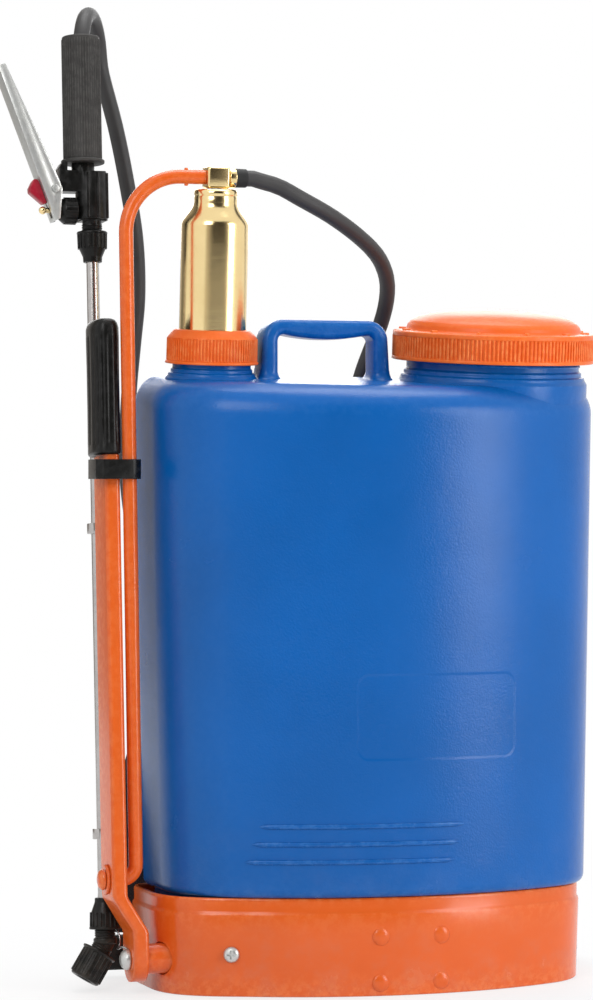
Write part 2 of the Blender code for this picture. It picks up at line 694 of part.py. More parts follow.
def make_pivot_bracket():
    """A plate inside the left of the base, with the tube that the lever's bolt runs in."""
    inset = BASE_SHEET + GAP
    rows = []
    for z in (BRACKET_BOTTOM, BRACKET_TOP):
        outer = [p for p in base_ring(z, inset) if p[0] < SCREW_X + BRACKET_REACH and p[1] < BRACKET_BACK]
        inner = [p for p in base_ring(z, inset + BRACKET_SHEET)][-len(base_ring(z, 0)):]
        keep = [i for i, p in enumerate(base_ring(z, inset)) if p in outer]
        rows.append(outer + [inner[i] for i in reversed(keep)])
    bracket = loft("pivot_bracket", rows, ORANGE_STEEL)
    boss_start = LEVER_LOWER_X + LEVER_WIDTH / 2 + GAP
    boss_end = LEVER_LOWER_X + BOSS_REACH
    boss = turned("boss_form", solid_bar(BOSS_RADIUS, boss_start, boss_end), ORANGE_STEEL,
                  at=(0, PIVOT_Y, PIVOT_Z), turn=(0, pi / 2, 0), steps=24, helper=True)
    bore = turned("boss_bore", solid_bar(BOLT_RADIUS + GAP, boss_start - 5 * MM, boss_end + 5 * MM),
                  ORANGE_STEEL,
                  at=(0, PIVOT_Y, PIVOT_Z), turn=(0, pi / 2, 0), steps=24, helper=True)
    normal = wall_normal(SCREW_X, SCREW_Z)
    screw_hole = turned("bracket_screw_hole", solid_bar(SCREW_RADIUS + GAP, -12 * MM, 4 * MM), ORANGE_STEEL,
                        at=(SCREW_X, base_front_y(SCREW_X, SCREW_Z), SCREW_Z), turn=(0, pi / 2, normal),
                        steps=12, helper=True)
    unite(bracket, boss)
    cut(bracket, bore, screw_hole)
    head_x = LEVER_LOWER_X - LEVER_WIDTH / 2 - GAP
    nut_x = boss_end + GAP
    turn = (0, pi / 2, 0)
    turned("pivot_bolt", [
        (0, nut_x + NUT_HEIGHT + 4 * MM), (BOLT_RADIUS, nut_x + NUT_HEIGHT + 4 * MM), (BOLT_RADIUS, head_x),
        (BOLT_HEAD_RADIUS, head_x), (BOLT_HEAD_RADIUS, head_x - BOLT_HEAD * 0.45),
        (BOLT_HEAD_RADIUS * 0.75, head_x - BOLT_HEAD * 0.85), (0, head_x - BOLT_HEAD),
    ], ZINC, at=(0, PIVOT_Y, PIVOT_Z), turn=turn, steps=24)
    turned("pivot_nut", ring_bar((BOLT_RADIUS + GAP) / cos(pi / 6), NUT_RADIUS, nut_x, nut_x + NUT_HEIGHT),
           ZINC,
           at=(0, PIVOT_Y, PIVOT_Z), turn=turn, steps=6)


def make_base_screw():
    """A pan-head screw through the base's front wall into the pivot bracket, with its nut inside."""
    head = SCREW_HEAD_RADIUS
    behind = BASE_SHEET + GAP + BRACKET_SHEET
    normal = wall_normal(SCREW_X, SCREW_Z)
    wall = Vector((SCREW_X, base_front_y(SCREW_X, SCREW_Z), SCREW_Z))
    lift = 0.9 * MM
    screw = turned("base_screw", [
        (0, lift + 3.4 * MM), (head * 0.5, lift + 3.1 * MM), (head * 0.85, lift + 2.1 * MM),
        (head, lift + 0.6 * MM),
        (head, lift), (SCREW_RADIUS, lift), (SCREW_RADIUS, lift - SCREW_LENGTH),
        (0, lift - SCREW_LENGTH),
    ], ZINC, at=wall, turn=(0, pi / 2, normal), steps=24)
    for angle in (0, pi / 2):
        slot = block(f"screw_slot_{degrees(angle):.0f}", (-3.4 * MM, -0.7 * MM, lift + 1.6 * MM),
                     (3.4 * MM, 0.7 * MM, lift + 6 * MM), ZINC, helper=True)
        slot.location = wall
        slot.rotation_euler = (Matrix.Rotation(normal, 3, "Z") @ Matrix.Rotation(pi / 2, 3, "Y")
                               @ Matrix.Rotation(angle, 3, "Z")).to_euler()
        cut(screw, slot)
    seat = -behind - 1.2 * MM
    turned("base_screw_nut", ring_bar((SCREW_RADIUS + GAP) / cos(pi / 6), 2 * SCREW_RADIUS,
                                      seat - 4 * MM, seat), ZINC,
           at=wall, turn=(0, pi / 2, normal), steps=6)


# Filler
def make_filler():
    rim = FILLER_NECK_HEIGHT + GAP
    lip = FILLER_BORE_RADIUS + 4 * MM
    cup = FILLER_BORE_RADIUS - 1 * MM
    foot = -BASKET_DEPTH + FILLER_NECK_HEIGHT
    turned("strainer_basket", [
        (lip, rim + BASKET_FLANGE), (lip, rim), (cup, rim), (cup * 0.92, foot), (0, foot),
        (0, foot + BASKET_WALL), (cup * 0.92 - BASKET_WALL, foot + BASKET_WALL),
        (cup - BASKET_WALL, rim + BASKET_FLANGE),
    ], PALE, FILLER_AXIS, steps=40)
    seat = rim + BASKET_FLANGE + GAP
    turned("lid_gasket", ring_bar(cup - BASKET_WALL, lip, seat, seat + GASKET_THICKNESS), SEAL,
           FILLER_AXIS, steps=40)
    inside = FILLER_NECK_RADIUS + GAP
    ceiling = seat + GASKET_THICKNESS + GAP
    top = LID_BOTTOM + LID_HEIGHT
    crown = top + LID_CROWN
    turned("filler_lid", [
        (0, crown), (LID_CROWN_RADIUS * 0.45, crown - 0.8 * MM),
        (LID_CROWN_RADIUS * 0.75, crown - 3.4 * MM),
        (LID_CROWN_RADIUS * 0.94, crown - 8 * MM), (LID_CROWN_RADIUS, crown - 11 * MM),
        (LID_CROWN_RADIUS + 1.5 * MM, top - 1 * MM), (LID_RADIUS - 3 * MM, top - 1 * MM),
        (LID_RADIUS, top - 3.5 * MM),
        (LID_RADIUS, LID_BOTTOM), (inside, LID_BOTTOM), (inside, ceiling),
        (LID_CROWN_RADIUS - LID_WALL, ceiling),
        (LID_CROWN_RADIUS * 0.7, crown - 4 * MM - LID_WALL), (0, crown - LID_WALL),
    ], ORANGE_PLASTIC, FILLER_AXIS, steps=48)


# Pump
def make_pump():
    rim = PUMP_NECK_HEIGHT + GAP
    cylinder_inside = CHAMBER_RADIUS + SLIDE_GAP
    cylinder_outside = cylinder_inside + CYLINDER_WALL
    flange = 2.2 * MM
    turned("pump_cylinder", [
        (PUMP_NECK_RADIUS - 1.4 * MM, rim + flange), (PUMP_NECK_RADIUS - 1.4 * MM, rim),
        (cylinder_outside, rim),
        (cylinder_outside, CYLINDER_FOOT), (cylinder_inside, CYLINDER_FOOT),
        (cylinder_inside, rim + flange),
    ], PALE, PUMP_AXIS)
    ceiling = rim + flange + GAP
    skirt = PUMP_NECK_RADIUS + GAP
    turned("pump_cap", [
        (CHAMBER_RADIUS + 2.6 * MM, PUMP_CAP_TOP), (PUMP_CAP_RADIUS - 5 * MM, PUMP_CAP_TOP - 1.5 * MM),
        (PUMP_CAP_RADIUS - 0.8 * MM, PUMP_CAP_RIM),
        (PUMP_CAP_RADIUS - 0.8 * MM, PUMP_CAP_BOTTOM + PUMP_CAP_FLANGE),
        (PUMP_CAP_RADIUS + 0.7 * MM, PUMP_CAP_BOTTOM + PUMP_CAP_FLANGE),
        (PUMP_CAP_RADIUS + 0.7 * MM, PUMP_CAP_BOTTOM),
        (skirt, PUMP_CAP_BOTTOM), (skirt, ceiling), (cylinder_inside, ceiling),
        (cylinder_inside, PUMP_CAP_TOP),
    ], ORANGE_PLASTIC, PUMP_AXIS, steps=40)
    piston_top = CHAMBER_FOOT - GAP
    piston_foot = piston_top - PISTON_HEIGHT
    cup_foot = piston_foot - GAP - CUP_HEIGHT
    inside = CHAMBER_RADIUS - CHAMBER_WALL
    shoulder_inside = CHAMBER_SHOULDER - 1 * MM
    turned("pressure_chamber", [
        (0, CHAMBER_TOP), (CHAMBER_NECK_RADIUS - 1.5 * MM, CHAMBER_TOP),
        (CHAMBER_NECK_RADIUS, CHAMBER_TOP - 1.5 * MM),
        (CHAMBER_NECK_RADIUS, CHAMBER_NECK), (CHAMBER_NECK_RADIUS - 0.8 * MM, CHAMBER_NECK - 1 * MM),
        (CHAMBER_NECK_RADIUS + 0.6 * MM, CHAMBER_NECK - 4 * MM),
        (CHAMBER_RADIUS - 4 * MM, CHAMBER_SHOULDER + 6 * MM),
        (CHAMBER_RADIUS - 1.2 * MM, CHAMBER_SHOULDER + 1.5 * MM),
        (CHAMBER_RADIUS, CHAMBER_SHOULDER - 4 * MM),
        (CHAMBER_RADIUS, CHAMBER_FOOT), (inside, CHAMBER_FOOT), (inside, shoulder_inside - 4 * MM),
        (inside - 4 * MM, shoulder_inside + 5 * MM), (CHAMBER_NECK_RADIUS - 2 * MM, CHAMBER_NECK - 5 * MM),
        (0, CHAMBER_NECK - 3 * MM),
    ], BRASS, PUMP_AXIS, steps=40)
    stub = 5 * MM
    turned("piston", [
        (CHAMBER_WALL + 5 * MM, piston_top + 10 * MM), (inside - GAP, piston_top + 10 * MM),
        (inside - GAP, piston_top),
        (CHAMBER_RADIUS, piston_top), (CHAMBER_RADIUS, piston_foot), (stub + 3 * MM, piston_foot),
        (stub + 3 * MM, cup_foot - 3 * MM), (stub, cup_foot - 3 * MM),
    ], BRASS, PUMP_AXIS)
    turned("piston_cup", ring_bar(stub + 3 * MM + GAP, CHAMBER_RADIUS, cup_foot, piston_foot - GAP), SEAL,
           PUMP_AXIS)
    valve_top = CYLINDER_FOOT - GAP
    turned("foot_valve", [
        (6 * MM, valve_top + 4 * MM), (cylinder_inside - GAP, valve_top + 4 * MM),
        (cylinder_inside - GAP, valve_top),
        (cylinder_outside + 2 * MM, valve_top), (cylinder_outside + 2 * MM, valve_top - 4 * MM),
        (14 * MM, valve_top - FOOT_VALVE_HEIGHT), (4 * MM, valve_top - FOOT_VALVE_HEIGHT),
    ], PALE, PUMP_AXIS)
    strainer_top = valve_top - FOOT_VALVE_HEIGHT - GAP
    turned("intake_strainer", [
        (16 * MM, strainer_top), (18 * MM, strainer_top - STRAINER_HEIGHT),
        (0, strainer_top - STRAINER_HEIGHT),
        (0, strainer_top - STRAINER_HEIGHT + 2 * MM), (14 * MM, strainer_top - STRAINER_HEIGHT + 2 * MM),
        (12 * MM, strainer_top),
    ], PALE, PUMP_AXIS, steps=24)
    half = BLOCK_SIDE / 2
    seat = CHAMBER_TOP + GAP
    outlet = block("outlet_block", (-half, -half, seat), (half, half, seat + BLOCK_HEIGHT), BRASS,
                   PUMP_AXIS)
    bevel(outlet, 1.5 * MM)
    turned("hose_fitting", [
        (3 * MM, half + FITTING_LENGTH), (FITTING_RADIUS, half + FITTING_LENGTH),
        (FITTING_RADIUS, half + 7 * MM),
        (FITTING_RADIUS + 1.2 * MM, half + 6 * MM), (FITTING_RADIUS + 1.2 * MM, half + GAP),
        (3 * MM, half + GAP),
    ], BRASS, PUMP_AXIS, at=(0, 0, seat + BLOCK_HEIGHT / 2), turn=(0, pi / 2, 0), steps=24)


BLOCK_MIDDLE = CHAMBER_TOP + GAP + BLOCK_HEIGHT / 2


def pump_point(height, x=0.0):
    return PUMP_AXIS.matrix_world @ Vector((x, 0, height))


# Lever and link rod
def lever_point(x, y, height):
    return LEVER_AXIS.matrix_world @ Vector((x, y, height))


def make_lever():
    half = LEVER_WIDTH / 2
    front = [(LEVER_LOWER_X - half, -LEVER_TAIL), (LEVER_LOWER_X + half, -LEVER_TAIL),
             (LEVER_LOWER_X + half, JOG_START), (LEVER_UPPER_X + half, JOG_END),
             (LEVER_UPPER_X + half, LEVER_LENGTH),
             (LEVER_UPPER_X - half, LEVER_LENGTH), (LEVER_UPPER_X - half, JOG_END),
             (LEVER_LOWER_X - half, JOG_START)]
    deep, tongue, shoulder = LEVER_DEPTH / 2, TONGUE_DEPTH / 2, GRIP_START - GAP
    side = arc(0, 0, LEVER_TAIL, -pi * 0.85, -pi * 0.15, 6)
    side = [(max(-deep, min(deep, y)), z) for y, z in side] + [(deep, shoulder), (tongue, shoulder),
                                                               (tongue, LEVER_LENGTH),
                                                               (-tongue, LEVER_LENGTH),
                                                                (-tongue, shoulder), (-deep, shoulder)]
    lever = plate("pump_lever", [front], -deep, deep, "y", ORANGE_STEEL, LEVER_AXIS)
    profile = plate("lever_side_form", [side], LEVER_UPPER_X - 30 * MM, LEVER_LOWER_X + 30 * MM, "x",
                    ORANGE_STEEL,
                    LEVER_AXIS, helper=True)
    boolean(lever, profile, "INTERSECT")
    inner = half - LEVER_SHEET
    channel = [(LEVER_LOWER_X - inner, -LEVER_TAIL - 5 * MM), (LEVER_LOWER_X + inner, -LEVER_TAIL - 5 * MM),
               (LEVER_LOWER_X + inner, JOG_START + 1 * MM), (LEVER_UPPER_X + inner, JOG_END + 1 * MM),
               (LEVER_UPPER_X + inner, LEVER_LENGTH - 6 * MM),
               (LEVER_UPPER_X - inner, LEVER_LENGTH - 6 * MM),
               (LEVER_UPPER_X - inner, JOG_END + 1 * MM), (LEVER_LOWER_X - inner, JOG_START + 1 * MM)]
    hollow = plate("lever_channel", [channel], LEVER_SHEET - deep, deep + 5 * MM, "y", ORANGE_STEEL,
                   LEVER_AXIS,
                   helper=True)
    cut(lever, hollow)
    across = (0, pi / 2, 0)
    for name, x, height, radius in (("pivot", LEVER_LOWER_X, 0, BOLT_RADIUS), ("crank", LEVER_UPPER_X,
                                                                               CRANK, ROD_RADIUS)):
        hole = turned(f"lever_{name}_hole", solid_bar(radius + GAP, x - LEVER_WIDTH, x + LEVER_WIDTH),
                      ORANGE_STEEL, LEVER_AXIS,
                      at=(0, 0, height), turn=across, steps=24, helper=True)
        cut(lever, hole)


def make_lever_grip():
    """A sleeve over the lever's end, closed at the top."""
    rings = []
    top = LEVER_LENGTH + GAP + GRIP_CAP
    for height, inset in ((GRIP_START, 1), (GRIP_START + 3 * MM, 0), (top - 7 * MM, 0), (top - 2 * MM, 2),
                          (top, 5)):
        outline = oval(GRIP_WIDTH / 2 - inset * MM, GRIP_DEPTH / 2 - inset * MM, 0.75, 28)
        rings.append([(LEVER_UPPER_X + GRIP_SHIFT + x, y, height) for x, y in outline])
    grip = loft("lever_grip", rings, BLACK, LEVER_AXIS)
    half, deep = LEVER_WIDTH / 2 + GAP, TONGUE_DEPTH / 2 + GAP
    socket = block("grip_socket", (LEVER_UPPER_X - half, -deep, GRIP_START - 5 * MM),
                   (LEVER_UPPER_X + half, deep, LEVER_LENGTH + GAP), BLACK, LEVER_AXIS, helper=True)
    cut(grip, socket)


ROD_FOOT = lever_point(ROD_FOOT_X, 0, CRANK)
ROD_HEAD = pump_point(BLOCK_MIDDLE, -BLOCK_SIDE / 2 - GAP)


def rod_centre(z):
    """The middle of the link rod's straight run at a height."""
    share = (z - ROD_FOOT.z) / (ROD_HEAD.z - ROD_FOOT.z)
    return Vector((ROD_FOOT_X + (ROD_HEAD_X - ROD_FOOT_X) * share,
                   ROD_FOOT.y + (ROD_HEAD.y - ROD_FOOT.y) * share, z))


def make_link_rod():
    """A round bar from the lever's crank hole up to the outlet block, bent over at both ends."""
    rivet_x = LEVER_UPPER_X - LEVER_WIDTH / 2 - GAP - RIVET_WASHER - GAP
    points = [Vector((rivet_x - RIVET_HEIGHT + 1 * MM, ROD_FOOT.y, ROD_FOOT.z))]
    for i in range(5):
        angle = pi / 2 * i / 4
        points.append(Vector((ROD_FOOT_X - ROD_ELBOW + ROD_ELBOW * sin(angle), 0,
                              ROD_ELBOW * (1 - cos(angle)))) + ROD_FOOT
                      - Vector((ROD_FOOT_X, 0, 0)))
    points.append(rod_centre((ROD_FOOT.z + ROD_HEAD.z) / 2))
    bend_start = rod_centre(ROD_HEAD.z - ROD_ARC)
    for i in range(8):
        angle = pi / 2 * i / 7
        x = bend_start.x + ROD_ARC * (1 - cos(angle))
        z = bend_start.z + ROD_ARC * sin(angle)
        points.append(Vector((x, rod_centre(z).y, z)))
    points.append(ROD_HEAD)
    rod = tube("link_rod", points, ROD_RADIUS, ORANGE_STEEL)
    rivet = turned("rivet_form", [
        (0, rivet_x - RIVET_HEIGHT * 0.1), (RIVET_RADIUS, rivet_x - RIVET_HEIGHT * 0.1),
        (RIVET_RADIUS, rivet_x - RIVET_HEIGHT * 0.6), (RIVET_RADIUS * 0.7, rivet_x - RIVET_HEIGHT),
        (0, rivet_x - RIVET_HEIGHT),
    ], ORANGE_STEEL, at=(0, ROD_FOOT.y, ROD_FOOT.z), turn=(0, pi / 2, 0), steps=20, helper=True)
    unite(rod, rivet)
    washer_x = LEVER_UPPER_X - LEVER_WIDTH / 2 - GAP
    turned("crank_washer", ring_bar(ROD_RADIUS + GAP, RIVET_WASHER_RADIUS, washer_x - RIVET_WASHER,
                                    washer_x), ORANGE_STEEL,
           at=(0, ROD_FOOT.y, ROD_FOOT.z), turn=(0, pi / 2, 0), steps=24)


def make_storage_clip():
    """A plastic clip fixed round the link rod, with a jaw, open at the back, that the lever rests in."""
    middle = lever_point(LEVER_UPPER_X, 0, CLIP_AT)
    z = middle.z
    rod = rod_centre(z)
    tilt = 1.2 * MM
    half = LEVER_WIDTH / 2 + 0.5 * MM
    lever_front = middle.y - LEVER_DEPTH / 2 - tilt - 0.5 * MM
    lever_back = middle.y + 2 * MM
    rod_edge = ROD_RADIUS + CLIP_RING
    front = min(lever_front - CLIP_RING, rod.y - rod_edge)
    outer_left = LEVER_UPPER_X - half - CLIP_ARM
    inner_right = LEVER_UPPER_X + half
    outline = [(outer_left, front + 5 * MM), (outer_left + 5 * MM, front), (rod.x, front)]
    outline += arc(rod.x, rod.y, rod_edge, -pi / 2, pi * 0.62, 8)
    outline += [(inner_right, rod.y + rod_edge * 0.95), (inner_right, lever_front),
                (LEVER_UPPER_X - half, lever_front),
                (LEVER_UPPER_X - half, lever_back), (outer_left, lever_back)]
    clip = plate("storage_clip", [outline], z - CLIP_HEIGHT / 2, z + CLIP_HEIGHT / 2, "z", BLACK)
    hole = tube("clip_rod_hole", [rod_centre(z - CLIP_HEIGHT), rod_centre(z + CLIP_HEIGHT)],
                ROD_RADIUS + GAP, BLACK,
                helper=True)
    cut(clip, hole)


# Lance
def make_lance():
    turned("lance_tube", ring_bar(LANCE_BORE, LANCE_RADIUS, LANCE_FOOT, LANCE_HEAD), STEEL, LANCE_AXIS,
           at=(LANCE_X, 0, 0), steps=20)
    bore = LANCE_RADIUS + GAP
    wide = LANCE_NUT_RADIUS
    top = LANCE_NUT_FOOT + LANCE_NUT_HEIGHT
    turned("lance_nut", [
        (wide + 0.8 * MM, top), (wide, top - 1.5 * MM), (wide, top - 13 * MM),
        (wide * 0.65, LANCE_NUT_FOOT + 3 * MM),
        (wide * 0.65, LANCE_NUT_FOOT), (bore, LANCE_NUT_FOOT), (bore, top - 9 * MM),
        (VALVE_NECK_RADIUS + GAP, top - 9 * MM), (VALVE_NECK_RADIUS + GAP, top),
    ], BLACK, LANCE_AXIS, at=(LANCE_X, 0, 0), steps=28)
    foot = NOZZLE_NUT_FOOT
    turned("nozzle_nut", [
        (wide * 0.65, foot + LANCE_NUT_HEIGHT), (wide * 0.68, foot + LANCE_NUT_HEIGHT - 3 * MM),
        (wide, foot + 13 * MM),
        (wide, foot + 1.5 * MM), (wide + 0.8 * MM, foot), (NOZZLE_NECK_RADIUS + GAP, foot),
        (NOZZLE_NECK_RADIUS + GAP, foot + 9 * MM), (bore, foot + 9 * MM), (bore, foot + LANCE_NUT_HEIGHT),
    ], BLACK, LANCE_AXIS, at=(LANCE_X, 0, 0), steps=28)


def make_nozzle():
    """The elbow under the lance, and the spray cap on its slanted end."""
    turn = (0, pi + NOZZLE_TILT, 0)
    neck_top = NOZZLE_NUT_FOOT + 8.5 * MM
    elbow = turned("nozzle_elbow", solid_bar(NOZZLE_NECK_RADIUS, ELBOW_Z - 1 * MM, neck_top), BLACK,
                   LANCE_AXIS,
                   at=(LANCE_X, 0, 0), steps=24)
    slanted = turned("elbow_arm", solid_bar(NOZZLE_NECK_RADIUS, 0, 19 * MM), BLACK, LANCE_AXIS,
                     at=(LANCE_X, 0, ELBOW_Z), turn=turn, steps=24, helper=True)
    knuckle = turned("elbow_knuckle", [(NOZZLE_NECK_RADIUS * sin(a), NOZZLE_NECK_RADIUS * cos(a))
                                       for a in [pi * i / 8 for i in range(9)]], BLACK, LANCE_AXIS,
                     at=(LANCE_X, 0, ELBOW_Z), steps=24, helper=True)
    unite(elbow, slanted, knuckle)
    channel = turned("elbow_channel", solid_bar(3 * MM, -1.3 * MM, 40 * MM), BLACK, LANCE_AXIS,
                     at=(LANCE_X, 0, ELBOW_Z),
                     steps=12, helper=True)
    slant_channel = turned("elbow_slant_channel", solid_bar(2.6 * MM, -2.2 * MM, 30 * MM), BLACK,
                           LANCE_AXIS,
                           at=(LANCE_X, 0, ELBOW_Z), turn=turn, steps=12, helper=True)
    cut(elbow, channel, slant_channel)
    start = 8.5 * MM
    end = start + NOZZLE_CAP_LENGTH
    wide = NOZZLE_CAP_RADIUS
    bore = NOZZLE_NECK_RADIUS + GAP
    turned("nozzle_cap", [
        (1 * MM, end - 3 * MM), (wide * 0.55, end - 3 * MM), (wide * 0.62, end), (wide - 1.5 * MM, end),
        (wide, end - 2 * MM),
        (wide, start + 2 * MM), (wide + 1.2 * MM, start + 1 * MM), (wide + 1.2 * MM, start), (bore, start),
        (bore, 19 * MM + GAP), (1 * MM, 19 * MM + GAP),
    ], BLACK, LANCE_AXIS, at=(LANCE_X, 0, ELBOW_Z), turn=turn, steps=28)


VALVE_X = LANCE_X
GLAND_SEAT = VALVE_X - VALVE_CORE_WIDTH / 2
TRIGGER_X = VALVE_X - TRIGGER_PIVOT_OUT
STEM_Z = TRIGGER_PIVOT_Z - STEM_BELOW_PIVOT


def make_valve():
    half, deep = VALVE_CORE_WIDTH / 2, VALVE_DEPTH / 2
    arm_foot = VALVE_HEAD - VALVE_ARM_HEIGHT
    arm_end = GLAND_SEAT - VALVE_ARM_LENGTH
    outline = [(VALVE_X - half, VALVE_FOOT), (VALVE_X + half, VALVE_FOOT), (VALVE_X + half, VALVE_HEAD),
               (arm_end + 6 * MM, VALVE_HEAD), (arm_end + 6 * MM, VALVE_HEAD + VALVE_HORN),
               (arm_end + 2 * MM, VALVE_HEAD + VALVE_HORN), (arm_end, VALVE_HEAD + VALVE_HORN - 4 * MM),
               (arm_end, arm_foot), (VALVE_X - half, arm_foot)]
    body = plate("valve_body", [outline], -VALVE_PLATE_HALF, VALVE_PLATE_HALF, "y", BLACK, LANCE_AXIS)
    core = turned("valve_core_form", solid_bar(deep, VALVE_FOOT + 1 * MM, VALVE_HEAD - 1 * MM), BLACK,
                  LANCE_AXIS, at=(VALVE_X, 0, 0),
                  steps=28, helper=True)
    neck = turned("valve_neck_form",
                  solid_bar(VALVE_NECK_RADIUS, LANCE_HEAD - 11 * MM, VALVE_FOOT + 2 * MM), BLACK,
                  LANCE_AXIS, at=(VALVE_X, 0, 0), steps=24, helper=True)
    spout = turned("valve_spout_form", solid_bar(9 * MM, VALVE_HEAD - 2 * MM, HAND_GRIP_FOOT - GAP), BLACK,
                   LANCE_AXIS,
                   at=(VALVE_X + HAND_GRIP_OFFSET, 0, 0), steps=24, helper=True)
    tube_bore = turned("valve_tube_bore",
                       solid_bar(LANCE_RADIUS + GAP, LANCE_HEAD - 20 * MM, LANCE_HEAD + GAP), BLACK,
                       LANCE_AXIS, at=(VALVE_X, 0, 0), steps=20, helper=True)
    tip_room = turned("valve_seat_room", solid_bar(5 * MM, GLAND_SEAT - 30 * MM, VALVE_X + 3 * MM), BLACK,
                      LANCE_AXIS,
                      at=(0, 0, STEM_Z), turn=(0, pi / 2, 0), steps=16, helper=True)
    pin_bore = turned("valve_pin_bore", solid_bar(PIN_RADIUS + GAP, -30 * MM, 30 * MM), BLACK, LANCE_AXIS,
                      at=(TRIGGER_X, 0, TRIGGER_PIVOT_Z), turn=(pi / 2, 0, 0), steps=16, helper=True)
    lug = turned("valve_lug_form", solid_bar(5 * MM, GAP - VALVE_PLATE_HALF, VALVE_PLATE_HALF - GAP),
                 BLACK, LANCE_AXIS,
                 at=(TRIGGER_X, 0, TRIGGER_PIVOT_Z), turn=(pi / 2, 0, 0), steps=20, helper=True)
    unite(body, core, neck, spout, lug)
    cut(body, tube_bore, tip_room, pin_bore)
    seat = GLAND_SEAT - 2.6 * MM
    wide = GLAND_RADIUS
    end = seat - GLAND_LENGTH
    turned("gland_nut", [
        (STEM_RADIUS + GAP, seat), (wide, seat), (wide, end + 4 * MM), (wide - 3 * MM, end),
        (STEM_RADIUS + GAP, end),
    ], BLACK, LANCE_AXIS, at=(0, 0, STEM_Z), turn=(0, pi / 2, 0), steps=28)
    turned("stem_seal", ring_bar(STEM_RADIUS + GAP, 4.7 * MM, seat + GAP, seat + 3.5 * MM), SEAL,
           LANCE_AXIS,
           at=(0, 0, STEM_Z), turn=(0, pi / 2, 0), steps=16)


def make_hand_grip():
    """The ribbed sleeve over the valve, with a wide mouth that the hose goes into."""
    wide = HAND_GRIP_RADIUS
    floor = HAND_GRIP_TOP - HAND_GRIP_MOUTH_DEPTH
    turned("valve_grip", [
        (wide - 1 * MM, HAND_GRIP_TOP), (wide, HAND_GRIP_TOP - 2 * MM), (wide, HAND_GRIP_FOOT + 3 * MM),
        (HAND_GRIP_FLANGE, HAND_GRIP_FOOT + 3 * MM), (HAND_GRIP_FLANGE, HAND_GRIP_FOOT),
        (4 * MM, HAND_GRIP_FOOT),
        (4 * MM, floor), (HOSE_RADIUS + 1 * MM, floor), (HAND_GRIP_MOUTH, HAND_GRIP_TOP),
    ], GREY, LANCE_AXIS, at=(VALVE_X + HAND_GRIP_OFFSET, 0, 0), steps=32)


def make_trigger():
    """A sheet-steel channel with its web outwards, on a pin through the valve's arm."""
    pivot = (TRIGGER_X, 0, TRIGGER_PIVOT_Z)
    web = -9 * MM
    side = [(web, -TRIGGER_DOWN), (web + 4 * MM, -TRIGGER_DOWN), (web + TRIGGER_FLANGE, -2 * MM),
            (web + TRIGGER_FLANGE, 6 * MM), (web + TRIGGER_FLANGE_END, TRIGGER_UP), (web, TRIGGER_UP)]
    half = TRIGGER_WIDTH / 2
    inner = half - TRIGGER_SHEET
    lean = (0, -TRIGGER_TILT, 0)
    trigger = plate("trigger", [side], -half, half, "y", STEEL, LANCE_AXIS)
    hollow = block("trigger_hollow", (web + TRIGGER_SHEET, -inner, -2 * TRIGGER_DOWN),
                   (web + 40 * MM, inner, 2 * TRIGGER_UP),
                   STEEL, LANCE_AXIS, helper=True)
    pin_hole = turned("trigger_pin_hole", solid_bar(PIN_RADIUS + GAP, -30 * MM, 30 * MM), STEEL,
                      LANCE_AXIS, at=pivot,
                      turn=(pi / 2, 0, 0), steps=16, helper=True)
    slot_half = STEM_RADIUS + 1.2 * MM
    stem_slot = block("trigger_stem_slot", (-20 * MM, -slot_half, -6 * MM), (10 * MM, slot_half, 6 * MM),
                      STEEL, LANCE_AXIS,
                      helper=True)
    for piece in (trigger, hollow):
        piece.location = pivot
        piece.rotation_euler = lean
    stem_slot.location = (TRIGGER_X, 0, STEM_Z)
    cut(trigger, hollow, pin_hole, stem_slot)
    head = 3 * MM
    reach = half + GAP
    turned("trigger_pin", [
        (0, reach + 1.2 * MM), (head, reach + 1.2 * MM), (head, reach), (PIN_RADIUS, reach),
        (PIN_RADIUS, -reach),
        (head, -reach), (head, -reach - 1.2 * MM), (0, -reach - 1.2 * MM),
    ], ZINC, LANCE_AXIS, at=pivot, turn=(pi / 2, 0, 0), steps=16)
    web_at_stem = TRIGGER_X + web / cos(TRIGGER_TILT) + STEM_BELOW_PIVOT * tan(TRIGGER_TILT)
    ball_x = web_at_stem - BALL_NUT_RADIUS - 1.6 * MM
    tip = VALVE_X + 1 * MM
    ball = [(BALL_NUT_RADIUS * sin(a),
             ball_x - BALL_NUT_RADIUS * cos(a)) for a in [pi * i / 8 for i in range(8)]]
    turned("valve_stem", [(0, tip), (4 * MM, tip), (4 * MM, tip - 3 * MM), (STEM_RADIUS, tip - 4 * MM)]
           + [(STEM_RADIUS, ball_x + 2.2 * MM)] + ball[5::-1], ZINC, LANCE_AXIS, at=(0, 0, STEM_Z),
           turn=(0, pi / 2, 0),
           steps=16)
    hub = LOCK_HUB_RADIUS
    wedge = [(0, -LOCK_LENGTH / 2), (-3 * MM, -LOCK_LENGTH / 2), (-LOCK_DEPTH, LOCK_LENGTH * 0.05),
             (-LOCK_DEPTH * 0.9, LOCK_LENGTH * 0.2)] + arc(-hub, LOCK_LENGTH * 0.3, hub, pi * 0.6, 0, 5)
    outline = [(x - GAP, z) for x, z in wedge]
    lock = plate("trigger_lock", [outline], -LOCK_WIDTH / 2, LOCK_WIDTH / 2, "y", RED, LANCE_AXIS)
    up = Vector((sin(-TRIGGER_TILT), 0, cos(TRIGGER_TILT)))
    out = Vector((-cos(TRIGGER_TILT), 0, -sin(TRIGGER_TILT)))
    lock.location = Vector(pivot) - web * out + up * LOCK_ABOVE_PIVOT
    lock.rotation_euler = lean


